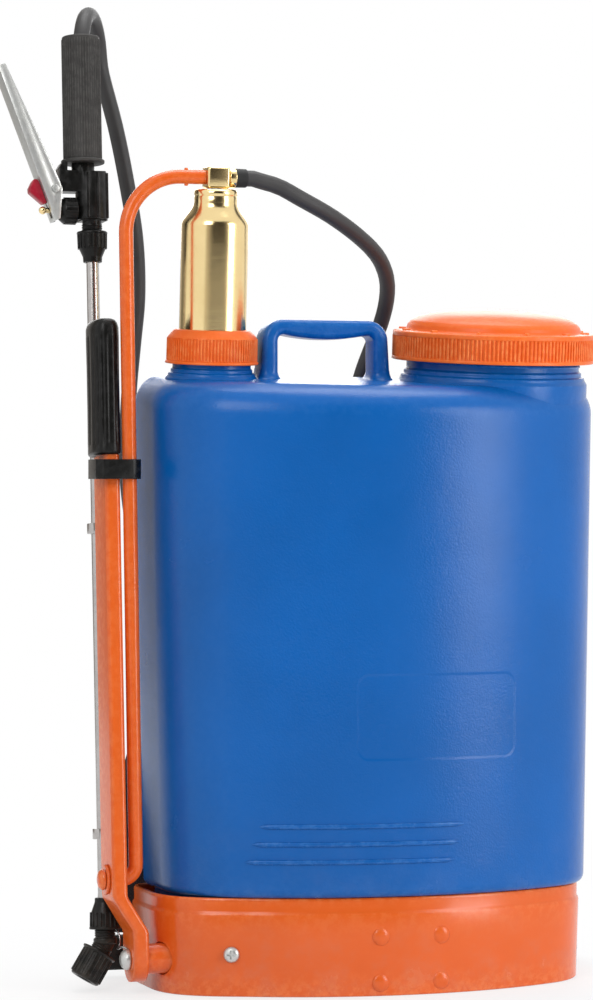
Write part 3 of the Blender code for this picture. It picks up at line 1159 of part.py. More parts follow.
def make_lance_clips():
    """Spring clips on the lever's back edge that hold the lance."""
    gap_to_lever = LEVER_DEPTH / 2 + GAP
    jaw = LANCE_RADIUS + GAP
    for number, height in enumerate(LANCE_CLIPS, 1):
        outer = jaw + CLIP_WIRE
        half = LEVER_WIDTH / 2
        centre = LANCE_BEHIND_LEVER
        x0 = LANCE_X
        outline = [(LEVER_UPPER_X - half, gap_to_lever), (LEVER_UPPER_X + half, gap_to_lever)]
        outline += arc(x0, centre, outer, -pi * 0.3, pi * 0.36, 6)
        outline += arc(x0, centre, jaw, pi * 0.36, -pi * 1.36, 14)
        outline += arc(x0, centre, outer, -pi * 1.36, -pi * 0.7, 6)
        plate(f"lance_clip_{number}", [outline], height - LANCE_CLIP_HEIGHT / 2,
              height + LANCE_CLIP_HEIGHT / 2, "z", BLACK,
              LEVER_AXIS)


# Harness
def back_y(x, z):
    """The tank's back surface at x and height z."""
    scale = taper(min(z, DECK_HEIGHT))
    hollow_half = TANK_HALF_WIDTH - TANK_BACK_RADIUS
    x = min(abs(x) / scale, hollow_half)
    return scale * (TANK_BACK - TANK_BACK_HOLLOW * (1 + cos(pi * x / hollow_half)) / 2)


def make_harness():
    rows = []
    for z in (ANCHOR_Z - ANCHOR_HEIGHT / 2, ANCHOR_Z + ANCHOR_HEIGHT / 2):
        steps = [ANCHOR_HALF * (i / 6 - 1) for i in range(13)]
        inner = [(x, back_y(x, ANCHOR_Z) + 2 * GAP, z) for x in steps]
        outer = [(x, y + ANCHOR_SHEET, z) for x, y, z in reversed(inner)]
        rows.append(inner + outer)
    loft("strap_anchor", rows, BLACK)
    strap_foot = STRAP_ROUTE[-1][1] * MM
    base_inset = BASE_INSET_FOOT + (BASE_INSET_TOP - BASE_INSET_FOOT) * strap_foot / BASE_HEIGHT
    hook_front = (TANK_BACK - base_inset) * TANK_FOOT_SCALE + GAP
    for name, side in (("left", -1), ("right", 1)):
        route = [Vector((side * x * MM, 0, z * MM)) for x, z in STRAP_ROUTE]
        points = smooth_route(route, 24 * MM)
        for point in points:
            point.y = back_y(point.x, point.z) + STRAP_OFF_TANK
        rings = []
        for i, point in enumerate(points):
            along = points[min(i + 1, len(points) - 1)] - points[max(i - 1, 0)]
            across = Vector((along.z, 0, -along.x)).normalized() * STRAP_WIDTH / 2
            thick = Vector((0, STRAP_THICKNESS / 2, 0))
            rings.append([point - across - thick, point + across - thick, point + across + thick,
                          point - across + thick])
        loft(f"shoulder_strap_{name}", rings, WEBBING)
        low, high = sorted(side * reach for reach in HOOK_REACH)
        hook = block(f"strap_hook_{name}", (low, hook_front, HOOK_FOOT),
                     (high, hook_front + HOOK_DEPTH, strap_foot - 1.5 * MM), BLACK)
        bevel(hook, 1.5 * MM)


# Hose
def make_hose():
    """The hose in two halves that meet end to end behind the tank. Each end has a short straight lead."""
    lead = Vector((8 * MM, 0, 0))
    meeting = Vector(HOSE_MEETING) * MM
    start = pump_point(BLOCK_MIDDLE, BLOCK_SIDE / 2 + FITTING_LENGTH + GAP)
    route = [start + lead] + [Vector(p) * MM for p in PUMP_HOSE_ROUTE] + [meeting + lead]
    points = [start] + smooth_route(route, HOSE_STEP) + [meeting + Vector((GAP, 0, 0))]
    tube("hose_pump_half", points, HOSE_RADIUS, RUBBER)
    floor = HAND_GRIP_TOP - HAND_GRIP_MOUTH_DEPTH + GAP
    mouth = LANCE_AXIS.matrix_world @ Vector((VALVE_X + HAND_GRIP_OFFSET, 0, floor))
    up = LANCE_AXIS.matrix_world.to_3x3() @ Vector((0, 0, 1))
    over = Vector((cos(HOSE_LOOP_TURN), sin(HOSE_LOOP_TURN), 0))
    spring = mouth + up * 8 * MM
    loop = []
    for i in range(7):
        angle = pi * 0.96 * i / 6
        across, rise = HOSE_LOOP_RADIUS * (1 - cos(angle)), HOSE_LOOP_RADIUS * sin(angle)
        loop.append(spring + over * across + up * rise)
    route = [meeting - lead] + [Vector(p) * MM for p in LANCE_HOSE_ROUTE] + loop[::-1]
    points = [meeting] + smooth_route(route, HOSE_STEP * 0.7) + [mouth]
    tube("hose_lance_half", points, HOSE_RADIUS, RUBBER)


def set_origins():
    """Puts each moving piece's origin on its joint's axis."""
    joints = {
        "pump_lever": LEVER_AXIS.matrix_world.translation + Vector((LEVER_LOWER_X, 0, 0)),
        "link_rod": Vector((ROD_FOOT_X, ROD_FOOT.y, ROD_FOOT.z)),
    }
    for name, point in joints.items():
        obj = bpy.data.objects[name]
        local = (LEVER_AXIS.matrix_world.inverted() if obj.parent else Matrix()) @ point
        obj.data.transform(Matrix.Translation(-local))
        obj.location = local


make_tank()
make_carry_handle()
make_base_skirt()
make_cross_brace()
make_pivot_bracket()
make_base_screw()
make_filler()
make_pump()
make_lever()
make_lever_grip()
make_link_rod()
make_storage_clip()
make_lance()
make_nozzle()
make_valve()
make_hand_grip()
make_trigger()
make_lance_clips()
make_harness()
make_hose()
set_origins()
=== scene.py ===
"""Looks of a lever-operated knapsack sprayer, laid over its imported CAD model.

Shapes are worked out in millimetres and become metres where a mesh is made. +Z is up, +X is to the right
of the viewer in front of the tank, and +Y points to the wearer's back.
"""

import json
from math import atan2, cos, pi, radians, sin, sqrt, tan

import bmesh
import bpy
from mathutils import Matrix, Vector

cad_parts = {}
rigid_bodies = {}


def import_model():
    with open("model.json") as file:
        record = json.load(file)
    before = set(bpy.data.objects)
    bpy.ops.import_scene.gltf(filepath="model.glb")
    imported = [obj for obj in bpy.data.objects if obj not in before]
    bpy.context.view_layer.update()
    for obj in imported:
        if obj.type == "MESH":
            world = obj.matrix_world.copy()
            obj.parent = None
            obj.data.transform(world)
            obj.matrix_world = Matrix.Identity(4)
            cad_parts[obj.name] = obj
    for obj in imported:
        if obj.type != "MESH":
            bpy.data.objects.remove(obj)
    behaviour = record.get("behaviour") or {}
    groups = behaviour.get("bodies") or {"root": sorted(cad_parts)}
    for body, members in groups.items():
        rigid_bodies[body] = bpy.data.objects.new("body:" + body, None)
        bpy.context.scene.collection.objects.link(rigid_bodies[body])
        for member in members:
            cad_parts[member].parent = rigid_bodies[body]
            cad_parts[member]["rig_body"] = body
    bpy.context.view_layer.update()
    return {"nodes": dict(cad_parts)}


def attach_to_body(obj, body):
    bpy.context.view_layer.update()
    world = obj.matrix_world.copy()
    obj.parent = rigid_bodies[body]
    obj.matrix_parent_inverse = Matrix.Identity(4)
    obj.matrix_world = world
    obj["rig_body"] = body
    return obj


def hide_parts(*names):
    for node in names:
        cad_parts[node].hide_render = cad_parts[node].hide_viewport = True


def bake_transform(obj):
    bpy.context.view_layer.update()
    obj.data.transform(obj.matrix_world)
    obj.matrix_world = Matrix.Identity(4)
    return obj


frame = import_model()
CAD = frame["nodes"]
MM = 0.001

# Tank and base, as in the CAD model
TANK_HALF_WIDTH, TANK_FRONT, TANK_BACK = 179, -93, 86
FRONT_RADIUS, CORNER_RADIUS, BACK_RADIUS, BACK_HOLLOW = 300, 78, 32, 20
FOOT_SCALE, TANK_SHOULDER = 0.962, 24
DECK_HEIGHT, SLOPE_START, DECK_SLOPE = 468.5, 300, radians(5)
SPIGOT_INSET, SPIGOT_DEPTH = 9, 11
BASE_HEIGHT, BASE_INSET_TOP, BASE_INSET_FOOT, BASE_SHEET = 75, 3.5, 6, 2
BEAD_HEIGHT, BEAD_STEP = 62, 1.6
LEVER_SIDE_BULGE, LEVER_SIDE_START, LEVER_SIDE_END = 13, 118, 160
STRIPES = ((-115, 41, 129), (-120, 37, 115.6), (-125, 33, 102.2))
HANDLE_LEFT, HANDLE_RIGHT, HANDLE_TOP, HANDLE_BAR, HANDLE_LEG = -90, 12, 515, 11.5, 12
HANDLE_SAG, HANDLE_DEPTH, HANDLE_Y = 3.5, 26, 15

# Axes of the turned pieces
LEVER_LEAN = radians(4.2)
PIVOT = (-196, -12, 26)
LANCE_X, GRIP_X, LANCE_Y = -212.5, -218.9, 16.974


def upright(x, y, z, lean):
    """A place whose z axis is tipped about X, in millimetres."""
    return Matrix.Translation((x, y, z)) @ Matrix.Rotation(lean, 4, "X")


PUMP = upright(-129, 15, DECK_HEIGHT + 15 * tan(DECK_SLOPE), DECK_SLOPE)
FILLER = upright(99, 5, DECK_HEIGHT + 5 * tan(DECK_SLOPE), DECK_SLOPE)
LEVER = upright(0, PIVOT[1], PIVOT[2], -LEVER_LEAN)
LANCE = upright(LANCE_X, LANCE_Y, 0, -LEVER_LEAN)
HAND_GRIP = upright(GRIP_X, LANCE_Y, 0, -LEVER_LEAN)
ALONG_X = Matrix.Rotation(pi / 2, 4, "Y")
NOZZLE_TILT = radians(32)
NOZZLE = LANCE @ Matrix.Translation((0, 0, 36)) @ Matrix.Rotation(pi + NOZZLE_TILT, 4, "Y")
STEM = LANCE @ Matrix.Translation((0, 0, 601)) @ ALONG_X


# Camera, light and floor, in metres
VIEW_TURN = radians(17.75)
VIEW_PLACE = (-0.912, -2.647, 0.375)
LENS, SENSOR_WIDTH, FAR_CLIP = 129.2, 36, 60
LIT_POINT = Vector((0, 0, 0.3))
WORLD_FILL = 0.5
FLOOR_REACH, FLOOR_DROP, FLOOR_GREY = 9.0, 0.0004, 0.86
SHADOW_REACH, WHITE_REACH, SHADOW_WHITE = 0.2, 0.75, 0.72
WALL_REACH, WALL_FOOT, WALL_TOP, WALL_PANELS = 3.6, -0.9, 4.2, 20
WALL_TINT = (1.0, 0.93, 0.85, 1)


def new_object(name, data):
    obj = bpy.data.objects.new(name, data)
    bpy.context.scene.collection.objects.link(obj)
    return obj


def make_camera():
    data = bpy.data.cameras.new("camera")
    data.lens, data.sensor_width, data.clip_end = LENS, SENSOR_WIDTH, FAR_CLIP
    camera = new_object("camera", data)
    camera.location = VIEW_PLACE
    camera.rotation_euler = (pi / 2, 0, -VIEW_TURN)
    bpy.context.scene.camera = camera


def soft_box(name, place, size, watts):
    data = bpy.data.lights.new(name, "AREA")
    data.shape, data.size, data.size_y, data.energy = "RECTANGLE", size[0], size[1], watts
    lamp = new_object(name, data)
    lamp.location = place
    lamp.rotation_euler = (LIT_POINT - Vector(place)).to_track_quat("-Z", "Y").to_euler()


def add(tree, kind, settings=None, inputs=None):
    """A node with its settings, and with each input set to a value or joined to another node's output."""
    node = tree.nodes.new(kind)
    for key, value in (settings or {}).items():
        setattr(node, key, value)
    for key, value in (inputs or {}).items():
        if isinstance(value, bpy.types.NodeSocket):
            tree.links.new(value, node.inputs[key])
        else:
            node.inputs[key].default_value = value
    return node


def maths(tree, operation, *values):
    node = add(tree, "ShaderNodeMath", {"operation": operation}, dict(enumerate(values)))
    return node.outputs[0]


def noise(tree, where, scale, detail=3.0, rough=0.55):
    node = add(tree, "ShaderNodeTexNoise", None, {"Vector": where, "Scale": scale, "Detail": detail,
                                                 "Roughness": rough})
    return node.outputs[0]


def between(tree, value, low, high, to_low=0.0, to_high=1.0):
    node = add(tree, "ShaderNodeMapRange", {"interpolation_type": "SMOOTHSTEP"},
               {"Value": value, "From Min": low, "From Max": high, "To Min": to_low, "To Max": to_high})
    return node.outputs[0]


def mixed(tree, share, first, second):
    """The first colour where the share is 0, the second where it is 1."""
    node = add(tree, "ShaderNodeMix", {"data_type": "RGBA"}, {0: share, 6: first, 7: second})
    return node.outputs[2]


def object_place(tree):
    return add(tree, "ShaderNodeTexCoord").outputs["Object"]


def split(tree, vector):
    return add(tree, "ShaderNodeSeparateXYZ", None, {0: vector}).outputs


def plain_material(name):
    """A new material, its node tree and its shader."""
    material = bpy.data.materials.new(name)
    material.use_nodes = True
    tree = material.node_tree
    return material, tree, tree.nodes["Principled BSDF"]


def make_world():
    """White to the eye and in reflections, dimmer as light on the object."""
    world = bpy.data.worlds.new("studio")
    bpy.context.scene.world = world
    world.use_nodes = True
    tree = world.node_tree
    rays = add(tree, "ShaderNodeLightPath").outputs
    seen = maths(tree, "MAXIMUM", rays["Is Camera Ray"], rays["Is Glossy Ray"])
    seen = maths(tree, "MAXIMUM", seen, rays["Is Transmission Ray"])
    strength = add(tree, "ShaderNodeMix", {"data_type": "FLOAT"}, {0: seen, 2: WORLD_FILL, 3: 1.0}).outputs[0]
    background = tree.nodes["Background"]
    background.inputs["Color"].default_value = (1, 1, 1, 1)
    tree.links.new(strength, background.inputs["Strength"])


def make_floor():
    """A pale floor that keeps the shadow near the object and fades to white further out."""
    mesh = bpy.data.meshes.new("floor")
    signs = ((-1, -1), (1, -1), (1, 1), (-1, 1))
    mesh.from_pydata([(x * FLOOR_REACH, y * FLOOR_REACH, -FLOOR_DROP) for x, y in signs], [], [(0, 1, 2, 3)])
    floor = new_object("floor", mesh)
    material, tree, shader = plain_material("pale_floor")
    shader.inputs["Base Color"].default_value = (FLOOR_GREY, FLOOR_GREY, FLOOR_GREY, 1)
    shader.inputs["Roughness"].default_value = 0.7
    shader.inputs["Specular IOR Level"].default_value = 0.2
    rays = add(tree, "ShaderNodeLightPath").outputs
    away = add(tree, "ShaderNodeVectorMath", {"operation": "LENGTH"}, {0: object_place(tree)})
    fade = between(tree, away.outputs["Value"], SHADOW_REACH, WHITE_REACH, SHADOW_WHITE, 1.0)
    seen = maths(tree, "MAXIMUM", rays["Is Camera Ray"], rays["Is Glossy Ray"])
    white = add(tree, "ShaderNodeEmission")
    mix = add(tree, "ShaderNodeMixShader", None, {0: maths(tree, "MULTIPLY", seen, fade),
                                                  1: shader.outputs[0], 2: white.outputs[0]})
    tree.links.new(mix.outputs[0], tree.nodes["Material Output"].inputs["Surface"])
    mesh.materials.append(material)


def make_dark_wall(name, start, end, level, glows):
    """A dim wall of the studio between two bearings about the view, in degrees. Only reflections show it, so
    that colours stay deep and bright metal has contrast. Each glow brightens it from one bearing about the
    -Y axis to another."""
    ahead = Vector((sin(VIEW_TURN), cos(VIEW_TURN), 0))
    right = Vector((cos(VIEW_TURN), -sin(VIEW_TURN), 0))
    corners, faces = [], []
    for i in range(WALL_PANELS + 1):
        turn = radians(start + (end - start) * i / WALL_PANELS)
        foot = (right * sin(turn) - ahead * cos(turn)) * WALL_REACH
        corners += [(foot.x, foot.y, WALL_FOOT), (foot.x, foot.y, WALL_TOP)]
        if i:
            faces.append((2 * i - 2, 2 * i, 2 * i + 1, 2 * i - 1))
    mesh = bpy.data.meshes.new(name)
    mesh.from_pydata(corners, [], faces)
    wall = new_object(name, mesh)
    material, tree, _ = plain_material(name)
    place = split(tree, object_place(tree))
    turn = maths(tree, "ARCTAN2", place[0], maths(tree, "MULTIPLY", place[1], -1.0))
    strength = level
    for dim, bright, gain in glows:
        strength = maths(tree, "ADD", strength, between(tree, turn, radians(dim), radians(bright), 0.0, gain))
    glow = add(tree, "ShaderNodeEmission", None, {"Color": WALL_TINT, "Strength": strength})
    tree.links.new(glow.outputs[0], tree.nodes["Material Output"].inputs["Surface"])
    mesh.materials.append(material)
    wall.visible_camera = wall.visible_diffuse = wall.visible_shadow = False
    wall.visible_transmission = wall.visible_volume_scatter = False


bpy.context.scene.view_settings.view_transform = "Standard"
make_camera()
make_world()
make_floor()
make_dark_wall("front_wall", -30, 60, 0.05, ((-22, -48, 0.5), (10, 42, 0.45)))
make_dark_wall("side_wall", -158, -104, 0.22, ((-150, -172, 0.5), (-140, -122, 0.5)))
soft_box("key_light", (-1.7, -1.9, 1.9), (1.1, 1.5), 26)
soft_box("fill_light", (1.6, -1.84, 0.95), (0.8, 1.8), 28)
soft_box("top_light", (0.2, 0.3, 2.3), (1.4, 1.0), 20)
soft_box("back_light", (0.6, 2.2, 1.3), (1.6, 1.2), 18)


# Shader groups
def shader_group(name, inputs, outputs):
    """An empty group with its sockets made. Returns the tree, its inputs' sockets and its output node."""
    tree = bpy.data.node_groups.new(name, "ShaderNodeTree")
    for label, (kind, value) in inputs.items():
        socket = tree.interface.new_socket(label, in_out="INPUT", socket_type=kind)
        socket.default_value = value
    for label, kind in outputs.items():
        tree.interface.new_socket(label, in_out="OUTPUT", socket_type=kind)
    return tree, tree.nodes.new("NodeGroupInput").outputs, tree.nodes.new("NodeGroupOutput").inputs


FLOAT, COLOUR, VECTOR = "NodeSocketFloat", "NodeSocketColor", "NodeSocketVector"
MID_GREY = (0.5, 0.5, 0.5, 1)
DUST_COLOUR = (0.42, 0.36, 0.29, 1)


def scaled(tree, colour, level):
    return add(tree, "ShaderNodeVectorMath", {"operation": "SCALE"}, {0: colour, "Scale": level}).outputs[0]


def make_skin_group():
    """Uneven colour, uneven gloss and fine grain, which every moulded or painted surface has."""
    tree, given, made = shader_group("surface_skin", {
        "Colour": (COLOUR, MID_GREY), "Patch Scale": (FLOAT, 14.0), "Patch Strength": (FLOAT, 0.12),
        "Roughness": (FLOAT, 0.4), "Gloss Spread": (FLOAT, 0.08), "Grain Scale": (FLOAT, 900.0),
    }, {"Colour": COLOUR, "Roughness": FLOAT, "Grain": FLOAT})
    where = object_place(tree)
    patch = between(tree, noise(tree, where, given["Patch Scale"]), 0.3, 0.7)
    depth = maths(tree, "SUBTRACT", 1.0, given["Patch Strength"])
    lift = maths(tree, "ADD", 1.0, maths(tree, "MULTIPLY", given["Patch Strength"], 0.4))
    dark, light = (scaled(tree, given["Colour"], level) for level in (depth, lift))
    tree.links.new(mixed(tree, patch, dark, light), made["Colour"])
    smear_scale = maths(tree, "MULTIPLY", given["Patch Scale"], 2.7)
    smear = maths(tree, "SUBTRACT", noise(tree, where, smear_scale, 5.0), 0.5)
    smear = maths(tree, "MULTIPLY", smear, maths(tree, "MULTIPLY", given["Gloss Spread"], 2.0))
    tree.links.new(maths(tree, "ADD", given["Roughness"], smear), made["Roughness"])
    tree.links.new(noise(tree, where, given["Grain Scale"], 2.0), made["Grain"])
    return tree


def make_wear_group():
    """Rubbed edges, from the edge mark that each piece's mesh carries, broken up by noise."""
    tree, given, made = shader_group("edge_rub", {
        "Colour": (COLOUR, MID_GREY), "Rubbed Colour": (COLOUR, (0.8, 0.8, 0.8, 1)),
        "Amount": (FLOAT, 0.3)}, {"Colour": COLOUR})
    mark = add(tree, "ShaderNodeAttribute", {"attribute_name": "edge"}).outputs["Fac"]
    where = object_place(tree)
    broken = between(tree, noise(tree, where, 160.0, 6.0, 0.7), 0.42, 0.62)
    mask = maths(tree, "MULTIPLY", maths(tree, "MULTIPLY", mark, broken), given["Amount"])
    tree.links.new(mixed(tree, mask, given["Colour"], given["Rubbed Colour"]), made["Colour"])
    return tree


def make_lines_group():
    """Fine lines drawn along one direction, as brushing, drawing or turning leaves on metal."""
    tree, given, made = shader_group("drawn_lines", {
        "Stretch": (VECTOR, (900.0, 900.0, 12.0)), "Blotch Scale": (FLOAT, 22.0)},
        {"Lines": FLOAT, "Blotches": FLOAT})
    where = object_place(tree)
    stretched = add(tree, "ShaderNodeVectorMath", {"operation": "MULTIPLY"}, {0: where, 1: given["Stretch"]})
    tree.links.new(noise(tree, stretched.outputs[0], 1.0, 4.0, 0.6), made["Lines"])
    blotches = noise(tree, where, given["Blotch Scale"], 5.0)
    tree.links.new(between(tree, blotches, 0.35, 0.75), made["Blotches"])
    return tree


def make_weave_group():
    """Plain weave on a strap's own UV map, which is in metres across and along it. Its Shade output is
    painted shade: it is low where the weave is low, so the hollows between threads are darkened.
    """
    tree, given, made = shader_group("strap_weave", {"Threads": (FLOAT, 700.0)},
                                     {"Height": FLOAT, "Shade": FLOAT})
    where = add(tree, "ShaderNodeUVMap", {"uv_map": "strap"}).outputs[0]
    axes = split(tree, where)
    across = maths(tree, "MULTIPLY", axes[0], given["Threads"])
    along = maths(tree, "MULTIPLY", axes[1], maths(tree, "MULTIPLY", given["Threads"], 0.55))
    turn = maths(tree, "SINE", maths(tree, "MULTIPLY", maths(tree, "FLOOR", across), pi / 2))
    warp = maths(tree, "ABSOLUTE", maths(tree, "SINE", maths(tree, "MULTIPLY", across, pi)))
    shifted = maths(tree, "ADD", along, maths(tree, "MULTIPLY", turn, 0.5))
    weft = maths(tree, "ABSOLUTE", maths(tree, "SINE", maths(tree, "MULTIPLY", shifted, pi)))
    height = maths(tree, "MULTIPLY", warp, maths(tree, "ADD", maths(tree, "MULTIPLY", weft, 0.7), 0.3))
    tree.links.new(height, made["Height"])
    # Painted shade: the Shade output is 0 in the low hollows of the weave and 1 on the raised threads.
    tree.links.new(between(tree, height, 0.1, 0.8), made["Shade"])
    return tree


def make_grime_group():
    """A little dust low down on the object, heaviest near the floor."""
    tree, given, made = shader_group("low_dust", {
        "Colour": (COLOUR, MID_GREY), "Reach": (FLOAT, 0.07), "Amount": (FLOAT, 0.2)},
        {"Colour": COLOUR, "Mask": FLOAT})
    where = object_place(tree)
    height = split(tree, where)[2]
    low = maths(tree, "SUBTRACT", 1.0, maths(tree, "DIVIDE", height, given["Reach"]))
    low = maths(tree, "MAXIMUM", low, 0.0)
    cloud = between(tree, noise(tree, where, 38.0, 6.0, 0.65), 0.4, 0.75)
    mask = maths(tree, "MULTIPLY", maths(tree, "MULTIPLY", low, cloud), given["Amount"])
    tree.links.new(mixed(tree, mask, given["Colour"], DUST_COLOUR), made["Colour"])
    tree.links.new(mask, made["Mask"])
    return tree


SKIN, WEAR, LINES = make_skin_group(), make_wear_group(), make_lines_group()
WEAVE, GRIME = make_weave_group(), make_grime_group()


def placed(tree, group, values):
    node = add(tree, "ShaderNodeGroup", {"node_tree": group}, values)
    return node.outputs


def new_finish(name, constants):
    """A material named for its slot in the record, with the values that are the same all over it."""
    material, tree, shader = plain_material(f"{name}_finish")
    material["slot"] = name
    for label, value in constants.items():
        shader.inputs[label].default_value = value
    return material, tree, shader


def bumped(tree, shader, height, distance):
    bump = add(tree, "ShaderNodeBump", None, {"Height": height, "Distance": distance, "Strength": 1.0})
    tree.links.new(bump.outputs[0], shader.inputs["Normal"])


def moulded(name, colour, roughness, grain, patch, depth=0.00006, scale=14.0, spread=0.08,
            rubbed=None, rub=0.35, **constants):
    """Plastic, rubber or enamel: skin, grain and slightly rubbed edges."""
    material, tree, shader = new_finish(name, {"Specular IOR Level": 0.32, **constants})
    skin = placed(tree, SKIN, {"Colour": (*colour, 1), "Patch Scale": scale, "Patch Strength": patch,
                               "Roughness": roughness, "Gloss Spread": spread, "Grain Scale": grain})
    pale = rubbed or tuple(min(1.0, c * 1.5 + 0.03) for c in colour)
    worn = placed(tree, WEAR, {"Colour": skin["Colour"], "Rubbed Colour": (*pale, 1), "Amount": rub})
    dust = placed(tree, GRIME, {"Colour": worn["Colour"], "Amount": 0.16})
    tree.links.new(dust["Colour"], shader.inputs["Base Color"])
    rough = maths(tree, "ADD", skin["Roughness"], maths(tree, "MULTIPLY", dust["Mask"], 0.6))
    tree.links.new(rough, shader.inputs["Roughness"])
    bumped(tree, shader, skin["Grain"], depth)
    return material


def metal(name, colour, dull, roughness, stretch, blotch, dulling, depth=0.00003, metallic=1.0):
    """Bare metal: drawn lines in its gloss and height, and duller blotches."""
    material, tree, shader = new_finish(name, {"Metallic": metallic})
    lines = placed(tree, LINES, {"Stretch": stretch, "Blotch Scale": blotch})
    stained = mixed(tree, maths(tree, "MULTIPLY", lines["Blotches"], dulling), (*colour, 1), (*dull, 1))
    rub = placed(tree, WEAR, {"Colour": stained, "Rubbed Colour": (*(min(1, c * 1.2) for c in colour), 1),
                              "Amount": 0.4})
    tree.links.new(rub["Colour"], shader.inputs["Base Color"])
    spread = maths(tree, "MULTIPLY", maths(tree, "ADD", lines["Lines"], lines["Blotches"]), 0.09)
    tree.links.new(maths(tree, "ADD", spread, roughness - 0.06), shader.inputs["Roughness"])
    bumped(tree, shader, lines["Lines"], depth)
    return material


def panel_recess(tree, where):
    """0 inside a shallow rounded panel on the front of the tank, 1 outside it."""
    centre, half, corner = (0.021, 0.211), (0.065, 0.032), 0.009
    axes = split(tree, where)
    reach = []
    for axis, middle, size in ((axes[0], centre[0], half[0]), (axes[2], centre[1], half[1])):
        off = maths(tree, "ABSOLUTE", maths(tree, "SUBTRACT", axis, middle))
        reach.append(maths(tree, "MAXIMUM", maths(tree, "SUBTRACT", off, size - corner), 0.0))
    away = maths(tree, "SQRT", maths(tree, "ADD", maths(tree, "POWER", reach[0], 2.0),
                                     maths(tree, "POWER", reach[1], 2.0)))
    outside = between(tree, away, corner - 0.0012, corner + 0.0012)
    return maths(tree, "MAXIMUM", outside, maths(tree, "GREATER_THAN", axes[1], 0.0))


def tank_finish():
    """Blow-moulded polyethylene: satin, very slightly wavy, with a shallow bare panel on the front."""
    material, tree, shader = new_finish("tank_blue", {"Specular IOR Level": 0.28})
    skin = placed(tree, SKIN, {"Colour": (0.0005, 0.104, 0.40, 1), "Patch Scale": 7.0, "Patch Strength": 0.10,
                               "Roughness": 0.25, "Gloss Spread": 0.07, "Grain Scale": 620.0})
    rub = placed(tree, WEAR, {"Colour": skin["Colour"], "Rubbed Colour": (0.08, 0.26, 0.62, 1),
                              "Amount": 0.3})
    dust = placed(tree, GRIME, {"Colour": rub["Colour"], "Reach": 0.14, "Amount": 0.08})
    tree.links.new(dust["Colour"], shader.inputs["Base Color"])
    tree.links.new(skin["Roughness"], shader.inputs["Roughness"])
    where = object_place(tree)
    waves = noise(tree, where, 26.0, 2.0)
    grain = maths(tree, "MULTIPLY", skin["Grain"], 0.28)
    height = maths(tree, "ADD", maths(tree, "ADD", maths(tree, "MULTIPLY", waves, 0.55), grain),
                   maths(tree, "MULTIPLY", panel_recess(tree, where), 0.55))
    bumped(tree, shader, height, 0.0006)
    return material


def hose_finish():
    """Matt rubber with faint lengthwise marks from its extrusion, on the hose's own UV map."""
    material, tree, shader = new_finish("hose_rubber", {"Specular IOR Level": 0.4})
    skin = placed(tree, SKIN, {"Colour": (0.034, 0.033, 0.034, 1), "Patch Scale": 30.0, "Patch Strength": 0.2,
                               "Roughness": 0.52, "Gloss Spread": 0.1, "Grain Scale": 1500.0})
    where = add(tree, "ShaderNodeUVMap", {"uv_map": "hose"}).outputs[0]
    drawn = add(tree, "ShaderNodeMapping", None, {"Vector": where, "Scale": (26.0, 9.0, 1.0)}).outputs[0]
    marks = noise(tree, drawn, 1.0, 4.0)
    tree.links.new(mixed(tree, maths(tree, "MULTIPLY", marks, 0.35), skin["Colour"], (0.075, 0.072, 0.07, 1)),
                   shader.inputs["Base Color"])
    tree.links.new(skin["Roughness"], shader.inputs["Roughness"])
    bumped(tree, shader, maths(tree, "ADD", marks, maths(tree, "MULTIPLY", skin["Grain"], 0.4)), 0.00012)
    return material


def webbing_finish():
    """Woven strap: threads in its height, painted shade in the hollows between threads in its colour, and a
    faint sheen.
    """
    material, tree, shader = new_finish("webbing", {"Sheen Weight": 0.25, "Sheen Roughness": 0.5,
                                                    "Specular IOR Level": 0.25})
    skin = placed(tree, SKIN, {"Colour": (0.03, 0.03, 0.034, 1), "Patch Scale": 25.0, "Patch Strength": 0.25,
                               "Roughness": 0.78, "Gloss Spread": 0.08, "Grain Scale": 2500.0})
    weave = placed(tree, WEAVE, {"Threads": 620.0})
    # Painted shade: near-black in the weave's low hollows, the strap's own colour on the raised threads.
    shade = mixed(tree, weave["Shade"], (0.009, 0.009, 0.01, 1), skin["Colour"])
    tree.links.new(shade, shader.inputs["Base Color"])
    tree.links.new(skin["Roughness"], shader.inputs["Roughness"])
    fuzz = maths(tree, "MULTIPLY", skin["Grain"], 0.2)
    bumped(tree, shader, maths(tree, "ADD", weave["Height"], fuzz), 0.0005)
    return material


BLUE = tank_finish()
ENAMEL = moulded("orange_paint", (0.74, 0.115, 0.012), 0.22, grain=240.0, depth=0.00003, patch=0.05,
                 scale=9.0, spread=0.05, rubbed=(0.86, 0.24, 0.07), rub=0.5,
                 **{"Coat Weight": 0.12, "Coat Roughness": 0.12, "Specular IOR Level": 0.35})
ORANGE = moulded("orange_plastic", (0.83, 0.135, 0.012), 0.36, grain=800.0, patch=0.06,
                 rubbed=(0.95, 0.33, 0.1), rub=0.45)
BLACK = moulded("black_plastic", (0.006, 0.006, 0.0055), 0.29, grain=1100.0, depth=0.00008, patch=0.3,
                rubbed=(0.04, 0.04, 0.04), rub=0.5, **{"Specular IOR Level": 0.2})
GREY = moulded("grip_grey", (0.036, 0.034, 0.032), 0.55, grain=1300.0, depth=0.00012, patch=0.22,
               rubbed=(0.11, 0.105, 0.10), rub=0.4)
RED = moulded("lock_red", (0.36, 0.008, 0.026), 0.28, grain=700.0, patch=0.1, rubbed=(0.6, 0.08, 0.1))
PALE = moulded("pale_plastic", (0.74, 0.73, 0.68), 0.42, grain=800.0, patch=0.08)
SEAL = moulded("seal_rubber", (0.018, 0.018, 0.018), 0.6, grain=1400.0, patch=0.2)
BRASS = metal("brass", (0.90, 0.70, 0.36), (0.70, 0.48, 0.19), 0.17, (60.0, 60.0, 2400.0), 15.0, 0.4)
STEEL = metal("stainless", (0.47, 0.45, 0.44), (0.34, 0.32, 0.31), 0.24, (1500.0, 1500.0, 30.0), 25.0, 0.4)
